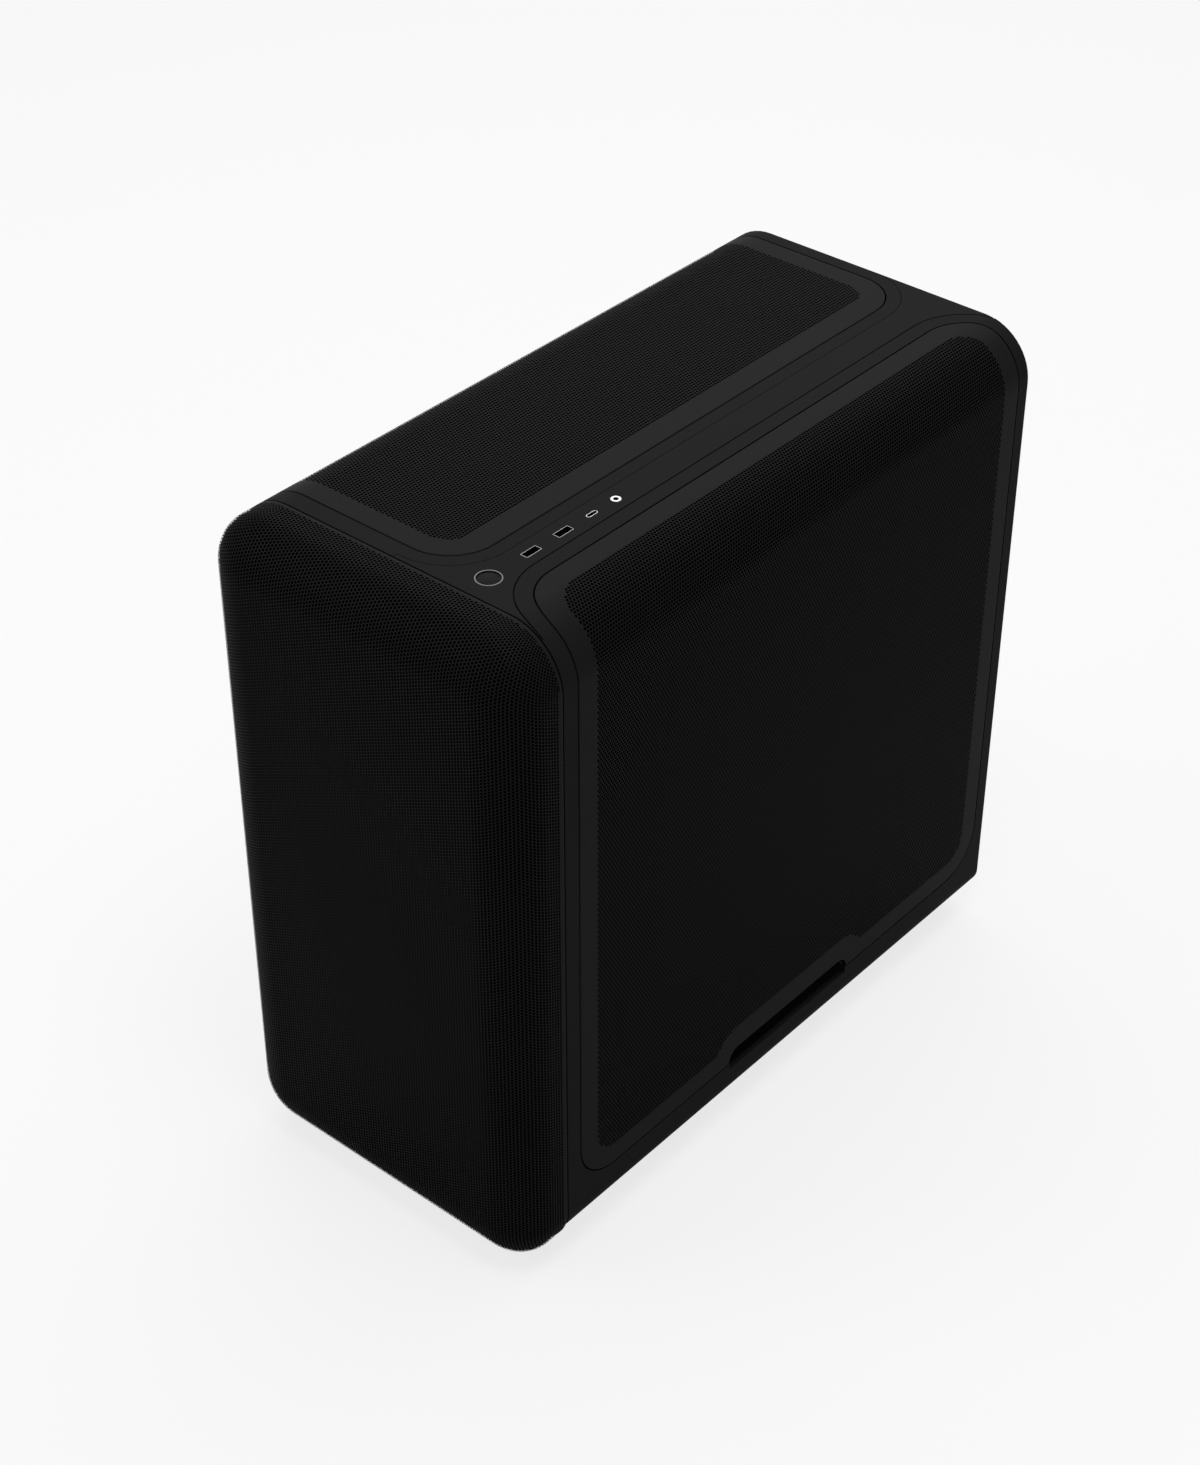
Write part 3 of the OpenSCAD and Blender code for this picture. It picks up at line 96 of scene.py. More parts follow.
def soft_box(name, watts, size, at, aim):
    """A rectangular lamp that hangs at one point and is turned towards another."""
    lamp = bpy.data.lights.new(name, "AREA")
    lamp.shape = "RECTANGLE"
    lamp.size, lamp.size_y = size
    lamp.energy = watts
    box = bpy.data.objects.new(name, lamp)
    box.location = at
    way = [b - a for a, b in zip(at, aim)]
    flat = math.hypot(way[0], way[1])
    box.rotation_euler = (math.atan2(flat, -way[2]), 0, math.atan2(way[1], way[0]) - math.pi / 2)
    bpy.context.scene.collection.objects.link(box)


soft_box("high_rear_box", 55, (3.4, 3.4), (-0.6, 1.1, 2.8), (0, 0, 0.3))
soft_box("low_front_box", 16, (1.6, 1.6), (-1.8, -2.0, 1.7), (0, 0, 0.25))
soft_box("overhead_box", 10, (0.6, 0.6), (0.55, -0.3, 2.0), (0.1, -0.1, 0.45))

# Matt white paper. To the camera most of its white is its own, so it stays pale all the way back, and the
# rest takes the case's shadow.
floor_reach, own_white = 9, 0.78
floor_mesh = bpy.data.meshes.new("studio_floor")
floor_mesh.from_pydata([(-floor_reach, -floor_reach, 0), (floor_reach, -floor_reach, 0),
                        (floor_reach, floor_reach, 0), (-floor_reach, floor_reach, 0)], [], [(0, 1, 2, 3)])
studio_floor = bpy.data.objects.new("studio_floor", floor_mesh)
bpy.context.scene.collection.objects.link(studio_floor)
paper = bpy.data.materials.new("matt_white_paper")
paper.use_nodes = True
paper_tree = paper.node_tree
paper_tree.nodes.clear()
lit = add(paper_tree, "ShaderNodeBsdfDiffuse", {"Color": hex_rgb("#f4f4f4")})
even = add(paper_tree, "ShaderNodeEmission", {"Color": hex_rgb("#fefefe"), "Strength": 1.0})
ray = add(paper_tree, "ShaderNodeLightPath").outputs
share = add(paper_tree, "ShaderNodeMath", {0: ray["Is Camera Ray"], 1: own_white}, operation="MULTIPLY")
mixed = add(paper_tree, "ShaderNodeMixShader",
            {0: share.outputs[0], 1: lit.outputs[0], 2: even.outputs[0]})
add(paper_tree, "ShaderNodeOutputMaterial", {"Surface": mixed.outputs[0]})
floor_mesh.materials.append(paper)


# Outer frame
# One moulded ring that carries every panel in a stepped pocket.
# Glass-filled ABS from a finely eroded tool: an even, dull black with a soft sheen on its rounded edges.

def dull_black(name, colour, roughness, grain, relief, shine):
    """A dark even finish: grain is the size of its bumps in millimetres, relief their depth in micrometres,
    and shine how strongly it mirrors. Patches about 110 mm wide are up to a tenth lighter or darker and a
    little more or less rough."""
    finish = bpy.data.materials.new(name)
    finish.use_nodes = True
    tree = finish.node_tree
    tree.nodes.clear()
    mottle, spread = 0.1, 0.03
    place = add(tree, "ShaderNodeTexCoord").outputs["Object"]
    bumps = add(tree, "ShaderNodeTexNoise", {"Vector": place, "Scale": 1000 / grain, "Detail": 2.0})
    patches = add(tree, "ShaderNodeTexNoise", {"Vector": place, "Scale": 9.0, "Detail": 3.0})
    stretched = {"Value": patches.outputs["Fac"], "From Min": 0.3, "From Max": 0.7}
    shade = add(tree, "ShaderNodeMapRange", {**stretched, "To Min": 1 - mottle, "To Max": 1 + mottle})
    tint = add(tree, "ShaderNodeVectorMath", {0: hex_rgb(colour)[:3], "Scale": shade.outputs["Result"]},
               operation="SCALE")
    rough = add(tree, "ShaderNodeMapRange",
                {**stretched, "To Min": roughness - spread, "To Max": roughness + spread})
    bump = add(tree, "ShaderNodeBump",
               {"Height": bumps.outputs["Fac"], "Distance": relief * 1e-6, "Strength": 1.0})
    surface = add(tree, "ShaderNodeBsdfPrincipled",
                  {"Base Color": tint.outputs["Vector"], "Roughness": rough.outputs["Result"],
                   "Specular IOR Level": shine, "Normal": bump.outputs["Normal"]})
    add(tree, "ShaderNodeOutputMaterial", {"Surface": surface.outputs[0]})
    return finish


def dress(material, *names):
    """Gives CAD nodes their finish."""
    for name in names:
        mesh = parts[name].data
        mesh.materials.clear()
        mesh.materials.append(material)


eroded_abs = dull_black("eroded_abs", "#181818", 0.55, 0.5, 14, 0.02)
dress(eroded_abs, "outer_frame")


# Right side panel
# Steel sheet punched flat with a staggered field of round holes, then bent over the top edge and hemmed.
# Matte black powder coat, sprayed and baked after forming, so its grain lies over every edge alike.

powder_coat = dull_black("powder_coated_steel", "#171717", 0.45, 0.35, 10, 0.025)

# Sizes in millimetres. The seat is how far a sheet's edge stands back from the wall of its pocket.
half_width, height, edge_r = 129.25, 500.0, 38.8
sheet_front, sheet_back, low_edge = -202.5, 247.7, 54.3
corner_r, seat = 35.0, 1.0
grip_middle, grip_half, grip_r = 21.5, 56.8, 11
margin_width = 17.5
hole_size = 2.0


def run(first, last, count):
    """Points on a straight line, its last point left out."""
    t = np.linspace(0, 1, count, endpoint=False)[:, None]
    return np.array(first) * (1 - t) + np.array(last) * t


def arc(centre, radius, start, end, count):
    """Points on an arc between two angles in degrees, both ends in."""
    a = np.radians(np.linspace(start, end, count))
    return np.column_stack([centre[0] + radius * np.cos(a), centre[1] + radius * np.sin(a)])


def joined(arcs, counts):
    """A closed loop of arcs with straight runs between them, each of so many points."""
    loop = []
    for i, bend in enumerate(arcs):
        loop.append(bend[:-1])
        loop.append(run(bend[-1], arcs[(i + 1) % len(arcs)][0], counts[i]))
    return np.vstack(loop)


def grip_bends(low, notch_r):
    """The two bends of the grip notch, or of the hole field that keeps clear of it."""
    left = (grip_middle - grip_half, low_edge)
    right = (grip_middle + grip_half, low_edge)
    tilt = math.degrees(math.asin((low - low_edge) / notch_r))
    return [arc(left, notch_r, 180 - tilt, 90, 12), arc(right, notch_r, 90, tilt, 12)]


def fold_right(flat, depth):
    """Flat (y, unrolled height) of the right panel to its place, sunk by depth under its outer face."""
    y, b = flat[:, 0], flat[:, 1]
    straight = height - edge_r
    turn = np.clip((b - straight) / edge_r, 0, math.pi / 2)
    past = np.clip(b - straight - edge_r * math.pi / 2, 0, None)
    r = edge_r - depth
    x = half_width - edge_r + r * np.cos(turn) - past
    z = np.where(b < straight, b, straight + r * np.sin(turn))
    return np.column_stack([x, y, z])


def right_unrolled(x):
    """Unrolled height of a point of the right panel at that x on the top."""
    over = math.asin(min(max((x - half_width + edge_r) / edge_r, 0), 1))
    return height - edge_r + edge_r * (math.pi / 2 - over) + max(half_width - edge_r - x, 0)


def plan_bend(centre, radius, start, end, count):
    """A corner that is round when seen from above, unrolled."""
    seen_from_above = arc(centre, radius, start, end, count)
    return np.array([[y, right_unrolled(x)] for y, x in seen_from_above])


# The web is punched as a flat lattice: one cell holds the bars to three neighbours and the two corners
# between them, so that the cells tile and weld into one sheet. Its holes have six sides, which is more
# than the render can tell from round. Their corners lie a little outside a round hole's edge and their
# flats inside it.
def lattice_cell(name, step, gap):
    """One cell of the web, and the plug that closes its hole in the plain border under the margin."""
    reach = hole_size / 2 * 1.05
    around = [(reach * math.cos(math.radians(a)), reach * math.sin(math.radians(a)))
              for a in (30, 90, 150, 210, 270, 330)]

    def corner(column, row, k):
        return (column * step + around[k][0], row * gap + around[k][1], 0.0)

    here, east, north_east, north_west = (0, 0), (1, 0), (0.5, 1), (-0.5, 1)
    faces = [
        [corner(*here, 5), corner(*east, 3), corner(*east, 2), corner(*here, 0)],
        [corner(*here, 0), corner(*north_east, 4), corner(*north_east, 3), corner(*here, 1)],
        [corner(*here, 1), corner(*north_west, 5), corner(*north_west, 4), corner(*here, 2)],
        [corner(*here, 0), corner(*east, 2), corner(*north_east, 4)],
        [corner(*here, 1), corner(*north_east, 3), corner(*north_west, 5)],
    ]
    plug = [[corner(*here, k) for k in range(6)]]
    made = []
    for label, group in (("web", faces), ("plug", plug)):
        points = [tuple(v / 1000 for v in p) for face in group for p in face]
        index, polygons = 0, []
        for face in group:
            polygons.append(tuple(range(index, index + len(face))))
            index += len(face)
        mesh = bpy.data.meshes.new(name + "_" + label)
        mesh.from_pydata(points, [], polygons)
        made.append(bpy.data.objects.new(name + "_" + label, mesh))
    return made


def outline_object(name, loop):
    """A flat face inside a loop, for the punch to find which holes lie in it."""
    mesh = bpy.data.meshes.new(name)
    mesh.from_pydata([(x / 1000, y / 1000, 0.0) for x, y in loop], [], [tuple(range(len(loop)))])
    return bpy.data.objects.new(name, mesh)


punch = bpy.data.node_groups.new("punched_sheet", "GeometryNodeTree")
for label, kind in (("Field", "Object"), ("Blank", "Object"), ("Web", "Object"), ("Plug", "Object"),
                    ("Middle", "Vector"), ("Hole spacing", "Float"), ("Row spacing", "Float"),
                    ("Holes in a row", "Int"), ("Rows", "Int"), ("Finish", "Material")):
    punch.interface.new_socket(label, in_out="INPUT", socket_type="NodeSocket" + kind)
punch.interface.new_socket("Sheet", in_out="OUTPUT", socket_type="NodeSocketGeometry")
given = add(punch, "NodeGroupInput").outputs

# A grid of points, with every second row half a step along.
spans = []
for count, spacing in (("Holes in a row", "Hole spacing"), ("Rows", "Row spacing")):
    less = add(punch, "ShaderNodeMath", {0: given[count], 1: 1.0}, operation="SUBTRACT")
    spans.append(add(punch, "ShaderNodeMath", {0: less.outputs[0], 1: given[spacing]},
                     operation="MULTIPLY"))
grid = add(punch, "GeometryNodeMeshGrid",
           {"Size X": spans[0].outputs[0], "Size Y": spans[1].outputs[0],
            "Vertices X": given["Holes in a row"], "Vertices Y": given["Rows"]})
number = add(punch, "GeometryNodeInputIndex")
row_number = add(punch, "ShaderNodeMath", {0: number.outputs[0], 1: given["Rows"]}, operation="MODULO")
odd_row = add(punch, "ShaderNodeMath", {0: row_number.outputs[0], 1: 2.0}, operation="MODULO")
half_step = add(punch, "ShaderNodeMath", {0: given["Hole spacing"], 1: 0.5}, operation="MULTIPLY")
shift = add(punch, "ShaderNodeMath", {0: odd_row.outputs[0], 1: half_step.outputs[0]},
            operation="MULTIPLY")
sideways = add(punch, "ShaderNodeCombineXYZ", {"X": shift.outputs[0]})
offset = add(punch, "ShaderNodeVectorMath", {0: sideways.outputs[0], 1: given["Middle"]}, operation="ADD")
holes = add(punch, "GeometryNodeSetPosition",
            {"Geometry": grid.outputs["Mesh"], "Offset": offset.outputs[0]})

# A point has a hole where it lies over the field, and a plug where it lies over the blank alone.
place = add(punch, "GeometryNodeInputPosition")
below = add(punch, "ShaderNodeVectorMath", {0: place.outputs[0], 1: (0, 0, -0.01)}, operation="ADD")
inside = {}
for label in ("Field", "Blank"):
    shape = add(punch, "GeometryNodeObjectInfo", {"Object": given[label]})
    look = add(punch, "GeometryNodeRaycast",
               {"Target Geometry": shape.outputs["Geometry"], "Source Position": below.outputs[0],
                "Ray Direction": (0, 0, 1), "Ray Length": 1.0})
    inside[label] = look.outputs["Is Hit"]
bare = add(punch, "FunctionNodeBooleanMath", {0: inside["Blank"], 1: inside["Field"]}, operation="NIMPLY")
both = add(punch, "GeometryNodeJoinGeometry")
for label, where in (("Web", inside["Blank"]), ("Plug", bare.outputs[0])):
    shape = add(punch, "GeometryNodeObjectInfo", {"Object": given[label]})
    layer = add(punch, "GeometryNodeInstanceOnPoints",
                {"Points": holes.outputs[0], "Instance": shape.outputs["Geometry"], "Selection": where})
    punch.links.new(layer.outputs[0], both.inputs[0])
real = add(punch, "GeometryNodeRealizeInstances", {"Geometry": both.outputs[0]})
welded = add(punch, "GeometryNodeMergeByDistance", {"Geometry": real.outputs[0], "Distance": 0.00002})
coated = add(punch, "GeometryNodeSetMaterial", {"Geometry": welded.outputs[0], "Material": given["Finish"]})
add(punch, "NodeGroupOutput", {"Sheet": coated.outputs[0]})


def seat_piece(name, mesh, body, node):
    """Puts a mesh in the scene as a piece of a body, in place of a CAD node."""
    piece = bpy.data.objects.new(name, mesh)
    bpy.context.scene.collection.objects.link(piece)
    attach(piece, body)
    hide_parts(node)


def punched_sheet(name, field, margin, spacing, row_gap, rows_low, rows_high, fold, panel, flip=False):
    """Punches one stretch of a panel's hole field, folds it to its place and seats it. It runs on plain for
    a fifth of the way out under the margin, and lies a little lower there."""
    under_margin, sunk, spare = 0.2, 0.06, 5
    web, plug = lattice_cell(name, spacing, row_gap)
    field_face = outline_object(name + "_field", field)
    blank_face = outline_object(name + "_blank", field + (margin - field) * under_margin)
    maker = bpy.data.objects.new(name + "_maker", bpy.data.meshes.new(name + "_maker"))
    helpers = [web, plug, field_face, blank_face, maker]
    for helper in helpers:
        bpy.context.scene.collection.objects.link(helper)
    low, high = field.min(axis=0) - spare, field.max(axis=0) + spare
    along = (low[0] + high[0]) / 2000
    up = (rows_low + rows_high - 1) / 2 * row_gap / 1000 + low[1] / 1000
    press = maker.modifiers.new("punch", "NODES")
    press.node_group = punch
    values = {"Field": field_face, "Blank": blank_face, "Web": web, "Plug": plug,
              "Middle": (along, up, 0), "Hole spacing": spacing / 1000, "Row spacing": row_gap / 1000,
              "Holes in a row": int((high[0] - low[0]) / spacing) + 2, "Rows": rows_high - rows_low,
              "Finish": powder_coat}
    for item in punch.interface.items_tree:
        if item.name in values:
            press[item.identifier] = values[item.name]
    graph = bpy.context.evaluated_depsgraph_get()
    mesh = bpy.data.meshes.new_from_object(maker.evaluated_get(graph))
    mesh.name = name
    for helper in helpers:
        bpy.data.objects.remove(helper)
    flat = np.empty(len(mesh.vertices) * 3)
    mesh.vertices.foreach_get("co", flat)
    flat = flat.reshape(-1, 3) * 1000
    mesh.vertices.foreach_set("co", (fold(flat[:, :2], sunk) / 1000).ravel())
    if flip:
        mesh.flip_normals()
    mesh.shade_smooth()
    seat_piece(name, mesh, panel, panel)


def rows_of(field, row_gap):
    """How many rows of holes a field takes, made even in each half so that both halves stagger alike."""
    return 4 * math.ceil((field[:, 1].max() - field[:, 1].min() + 10) / row_gap / 4)


def banded(name, rings, fold, panel, closed=True, flip=False, finish=powder_coat):
    """A band of sheet from rings of flat points, each with its depth under the outer face. An open band
    is capped over its first ring."""
    count = len(rings[0][0])
    places = np.vstack([fold(loop, depth) for loop, depth in rings]) / 1000
    faces = []
    last = len(rings) if closed else len(rings) - 1
    for i in range(last):
        for j in range(count):
            a, b = i * count + j, i * count + (j + 1) % count
            c, d = (i + 1) % len(rings) * count + (j + 1) % count, (i + 1) % len(rings) * count + j
            faces.append((a, b, c, d) if flip else (a, d, c, b))
    if not closed:
        faces.append(tuple(range(count)) if not flip else tuple(reversed(range(count))))
    mesh = bpy.data.meshes.new(name)
    mesh.from_pydata([tuple(p) for p in places], [], faces)
    mesh.materials.append(finish)
    mesh.shade_smooth()
    mesh.set_sharp_from_angle(angle=math.radians(40))
    seat_piece(name, mesh, panel, panel)


def hemmed_margin(outer, field):
    """Rings of a panel's plain margin: from its holes out, over the rounded edge and back under its hem."""
    def inset(distance):
        return outer + (field - outer) * (distance / margin_width)
    inner = margin_width - 0.6
    sheet_under, hem_under, hem_width = 1.2, 2.1, 2.2
    rings = [(inset(inner), 0)]
    rings += [(inset(margin_width * s), 0) for s in (0.85, 0.7, 0.55, 0.4, 0.27, 0.15, 0.07)]
    rings += [(inset(0.45), 0), (inset(0.16), 0.09), (inset(0.03), 0.28), (inset(0), 0.6)]
    rings += [(inset(0), hem_under), (inset(hem_width), hem_under), (inset(hem_width), sheet_under)]
    rings += [(inset(margin_width * 0.5), sheet_under), (inset(inner), sheet_under)]
    return rings


# Strips of dead black with no shine at all: painted shade that closes a gap to a plain black line.
painted_gap_shade = dull_black("painted_gap_shade", "#020202", 0.9, 0.5, 20, 0.0)
lining_depth, shade_strip_under = 0.9, 1.1


def gap_lip(name, near, far, fold, panel, flip=False):
    """A strip of painted shade under a panel's edge, which fills its gap to the frame from below."""
    rings = [(near, lining_depth), (far, lining_depth), (far, shade_strip_under), (near, shade_strip_under)]
    banded(name, rings, fold, panel, flip=flip, finish=painted_gap_shade)


# A thin dead black sheet lies against the inside of each punched sheet: painted shade that swallows the
# light
#  that falls through the holes, so they look empty and dark.
hole_shade_sheet = dull_black("black_fleece", "#030303", 0.9, 0.4, 20, 0.0)


def lined(name, field, fold, panel, flip=False):
    """A sheet of painted shade behind the whole of a hole field and a little past it, bent with the panel.
    """
    past, columns, lines = 2, 3, 150
    across = np.linspace(field[:, 0].min() - past, field[:, 0].max() + past, columns)
    along = np.linspace(field[:, 1].min() - past, field[:, 1].max() + past, lines)
    flat = np.array([(y, b) for b in along for y in across])
    faces = []
    for i in range(lines - 1):
        for j in range(columns - 1):
            a = i * columns + j
            b = a + columns
            faces.append((a, b, b + 1, a + 1) if flip else (a, a + 1, b + 1, b))
    mesh = bpy.data.meshes.new(name)
    mesh.from_pydata([tuple(p) for p in fold(flat, lining_depth) / 1000], [], faces)
    mesh.materials.append(hole_shade_sheet)
    mesh.shade_smooth()
    seat_piece(name, mesh, panel, panel)


def perforated_panel(side, outer, field, spacing, row_gap, stretches, fold, flip=False):
    """All of a panel: its sheet, punched in so many stretches from the lowest row up, so that none grows too
    heavy, then its margin, the painted shade in its gap and the painted shade behind its holes."""
    panel = side + "_panel"
    rows = rows_of(field, row_gap) // len(stretches)
    for i, stretch in enumerate(stretches):
        punched_sheet(side + "_sheet" + stretch, field, outer, spacing, row_gap, i * rows, (i + 1) * rows,
                      fold, panel, flip=flip)
    banded(side + "_margin", hemmed_margin(outer, field), fold, panel, flip=flip)
    # A strip of painted shade in the gap at the sheet's edge.
    shade_strip_reach = 0.053
    gap_lip(side + "_gap_lip", outer, outer - (field - outer) * shade_strip_reach, fold, panel, flip=flip)
    # Painted shade behind the holes.
    lined(side + "_fleece", field, fold, panel, flip=flip)


bend_r = corner_r - seat
field_front, field_back, field_low, field_r = -184.8, 230.3, 71.3, 20.0
field_grip_r = 30.7


def side_edge(upper_bends, counts):
    """Outer edge of a side sheet with its grip notch, below the two upper bends that are given."""
    return joined([arc((sheet_front + corner_r, low_edge + corner_r), bend_r, 180, 270, 16),
                   *grip_bends(low_edge + seat, grip_r),
                   arc((sheet_back - corner_r, low_edge + corner_r), bend_r, 270, 360, 16),
                   *upper_bends], counts)


def side_field(top, bend_points, counts):
    """Edge of a side sheet's hole field, which goes up to that height on the flat sheet."""
    return joined([arc((field_front + field_r, field_low + field_r), field_r, 180, 270, 16),
                   *grip_bends(field_low, field_grip_r),
                   arc((field_back - field_r, field_low + field_r), field_r, 270, 360, 16),
                   arc((field_back - field_r, top - field_r), field_r, 0, 90, bend_points),
                   arc((field_front + field_r, top - field_r), field_r, 90, 180, bend_points)], counts)


# On top the sheet ends at this distance from the middle of the case. The field stops short of there.
top_end, field_short = 76.4, 3.05
plan_x = top_end + corner_r
right_counts = [8, 14, 8, 70, 60, 70]
right_outer = side_edge([plan_bend((sheet_back - corner_r, plan_x), bend_r, 0, -90, 24),
                         plan_bend((sheet_front + corner_r, plan_x), bend_r, 270, 180, 24)], right_counts)
right_field = side_field(height - edge_r + edge_r * math.pi / 2 - field_short, 24, right_counts)
side_spacing, side_row_gap = 2.422, 2.195
perforated_panel("right", right_outer, right_field, side_spacing, side_row_gap, ("_lower", "_upper"),
                 fold_right)


# Left side panel
# The same punched, hemmed and powder-coated steel, but flat: it ends below the top panel's lower edge.

left_top, left_field_in = 441.0, 17.0


def fold_left(flat, depth):
    """Flat (y, height) of the left panel to its place, sunk by depth under its outer face."""
    return np.column_stack([np.full(len(flat), depth - half_width), flat[:, 0], flat[:, 1]])


left_counts = [8, 14, 8, 40, 40, 40]
left_outer = side_edge([arc((sheet_back - corner_r, left_top - corner_r), bend_r, 0, 90, 16),
                        arc((sheet_front + corner_r, left_top - corner_r), bend_r, 90, 180, 16)],
                       left_counts)
left_field = side_field(left_top - left_field_in, 16, left_counts)
perforated_panel("left", left_outer, left_field, side_spacing, side_row_gap, ("_lower", "_upper"),
                 fold_left, flip=True)


# Top panel
# Punched, hemmed and powder-coated steel again, bent down over the left edge of the case.

top_front, top_edge, top_corner = -201.6, 34.1, 34.4
wrap_low, wrap_corner = 453.0, 6.0
level = top_edge + half_width - edge_r


def fold_top(flat, depth):
    """Flat (y, distance from the near edge) of the top panel to its place, sunk by depth."""
    y, b = flat[:, 0], flat[:, 1]
    turn = np.clip((b - level) / edge_r, 0, math.pi / 2)
    past = np.clip(b - level - edge_r * math.pi / 2, 0, None)
    r = edge_r - depth
    x = np.where(b < level, top_edge - b, edge_r - half_width - r * np.sin(turn))
    z = height - edge_r + r * np.cos(turn) - past
    return np.column_stack([x, y, z])


wrap_edge = level + edge_r * math.pi / 2 + height - edge_r - wrap_low
top_counts = [40, 60, 40, 60]
top_bend, wrap_bend = top_corner - seat, wrap_corner - seat
top_outer = joined([
    arc((top_front + top_corner, top_corner), top_bend, 180, 270, 16),
    arc((sheet_back - top_corner, top_corner), top_bend, 270, 360, 16),
    arc((sheet_back - wrap_corner, wrap_edge - wrap_corner), wrap_bend, 0, 90, 16),
    arc((top_front + wrap_corner, wrap_edge - wrap_corner), wrap_bend, 90, 180, 16)], top_counts)
top_field_front, top_field_near, top_field_far = -184.6, 18.6, wrap_edge - margin_width
near_r, far_r = 18, 10
top_field = joined([
    arc((top_field_front + near_r, top_field_near + near_r), near_r, 180, 270, 16),
    arc((field_back - near_r, top_field_near + near_r), near_r, 270, 360, 16),
    arc((field_back - far_r, top_field_far - far_r), far_r, 0, 90, 16),
    arc((top_field_front + far_r, top_field_far - far_r), far_r, 90, 180, 16)], top_counts)
top_spacing, top_row_gap = 2.342, 2.446
perforated_panel("top", top_outer, top_field, top_spacing, top_row_gap, ("",), fold_top)


# Front panel
# One sheet, punched flat and then deep drawn into a pillow, so its holes run on over the rounding and
# crowd a little at the corners. A narrow plain rim is left at the seam.

front_low, seam_y, flank = 6.0, -214.9, 14.2
round_in, round_deep, tight_r = 36.5, 28.8, 24.0
wide_r = ((round_in - tight_r) ** 2 + round_deep ** 2 - tight_r ** 2) / (2 * (round_deep - tight_r))
join = math.atan2(round_in - tight_r, wide_r - round_deep)
round_length = wide_r * join + tight_r * (math.pi / 2 - join)
flank_end = round_length + flank - 0.6
core_x, core_top, core_low = half_width - round_in, height - round_in, front_low + round_in
crown_x, crown_z = half_width - edge_r, height - edge_r


def rounding(d, depth):
    """Reach outwards and forwards of the rounding's section at a distance along it from the flat face."""
    wide = np.clip(d, 0, wide_r * join) / wide_r
    tight = join + np.clip(d - wide_r * join, 0, tight_r * (math.pi / 2 - join)) / tight_r
    first = d < wide_r * join
    tight_in = tight_r - depth
    wide_in = wide_r - depth
    out = np.where(first, wide_in * np.sin(wide), round_in - tight_r + tight_in * np.sin(tight))
    fore = np.where(first, round_deep - wide_r + wide_in * np.cos(wide), tight_in * np.cos(tight))
    back = np.clip(d - round_length, 0, None)
    return out, fore - back


def fold_front(flat, depth):
    """Flat (height, minus x) of the front sheet to its place on the pillow."""
    z, x = flat[:, 0], -flat[:, 1]
    upper = (z > crown_z) & (np.abs(x) > crown_x)
    lower = (z < core_low) & (np.abs(x) > core_x)
    centre_x = np.where(upper, crown_x, core_x) * np.sign(x)
    centre_z = np.where(upper, crown_z, core_low)
    spare = np.where(upper, edge_r - round_in, 0.0)
    away_x, away_z = x - centre_x, z - centre_z
    reach = np.maximum(np.hypot(away_x, away_z), 1e-9)
    corner = upper | lower
    beside, over = np.abs(x) - core_x, np.maximum(z - core_top, core_low - z)
    d = np.where(corner, reach - spare, np.maximum(beside, over))
    out, fore = rounding(np.maximum(d, 0), depth)
    flat_part = d <= 0
    sideways = ~corner & (beside >= over)
    grow = (spare + out) / reach
    new_x = np.where(corner, centre_x + away_x * grow, np.where(sideways, np.sign(x) * (core_x + out), x))
    above = z > height / 2
    new_z = np.where(corner, centre_z + away_z * grow,
                     np.where(sideways, z, np.where(above, core_top + out, core_low - out)))
    new_x = np.where(flat_part, x, new_x)
    new_z = np.where(flat_part, z, new_z)
    fore = np.where(flat_part, round_deep - depth, fore)
    return np.column_stack([new_x, seam_y - flank - fore, new_z])


def front_loop(d):
    """Loop on the flat front sheet at a distance past the start of the rounding."""
    crown_r = d + edge_r - round_in
    return joined([
        arc((core_low, -core_x), d, 180, 270, 24), arc((crown_z, -crown_x), crown_r, 270, 360, 24),
        arc((crown_z, crown_x), crown_r, 0, 90, 24), arc((core_low, core_x), d, 90, 180, 24)],
        [60, 40, 60, 40])


front_field = front_loop(flank_end - 2.6)
front_spacing, front_row_gap = 2.389, 2.3975
front_rows = rows_of(front_field, front_row_gap)
for label, first, last in (("left", front_rows // 2, front_rows), ("right", 0, front_rows // 2)):
    punched_sheet("front_sheet_" + label, front_field, front_loop(flank_end + 1.4), front_spacing,
                  front_row_gap, first, last, fold_front, "front_panel")
rim_width, rim_under = 2.4, 1.2
rim_start = front_loop(flank_end - rim_width)
rim = [(rim_start, 0), (front_loop(flank_end - 1.2), 0), (front_loop(flank_end - 0.4), 0),
       (front_loop(flank_end - 0.12), 0.09), (front_loop(flank_end), 0.35),
       (front_loop(flank_end), rim_under), (rim_start, rim_under)]
banded("front_rim", rim, fold_front, "front_panel")
# A strip of painted shade fills the rim's gap to the frame.
gap_lip("front_gap_lip", front_loop(flank_end - 0.3), front_loop(flank_end + 0.9), fold_front, "front_panel")

# The same painted shade lines the drawn sheet, in one piece from its middle right up to its rim.
hole_shade_steps = [0.02, 4, 9, 14, 18, 22, 26, 30, 34, 38, 42, 46, 50, 54, flank_end - rim_width]
banded("front_fleece", [(front_loop(d), lining_depth) for d in hole_shade_steps], fold_front, "front_panel",
       closed=False, finish=hole_shade_sheet)


# Filters behind the panels
# Fine nylon mesh, woven from dyed black thread and welded to thin moulded frames. Its weave is too fine to
# see, and it shows as a dark, quite dead black.

nylon_mesh = dull_black("woven_nylon_mesh", "#030303", 0.9, 0.4, 20, 0.0)
dress(nylon_mesh, "right_filter", "left_filter", "top_filter", "front_filter", "bottom_filter")


# Port strip
# The saddle-shaped moulding between the rims, of the same eroded ABS as the frame, with the button's cap.
# Along its side by the right panel it is half a millimetre narrower, which leaves a wider, darker gap there.

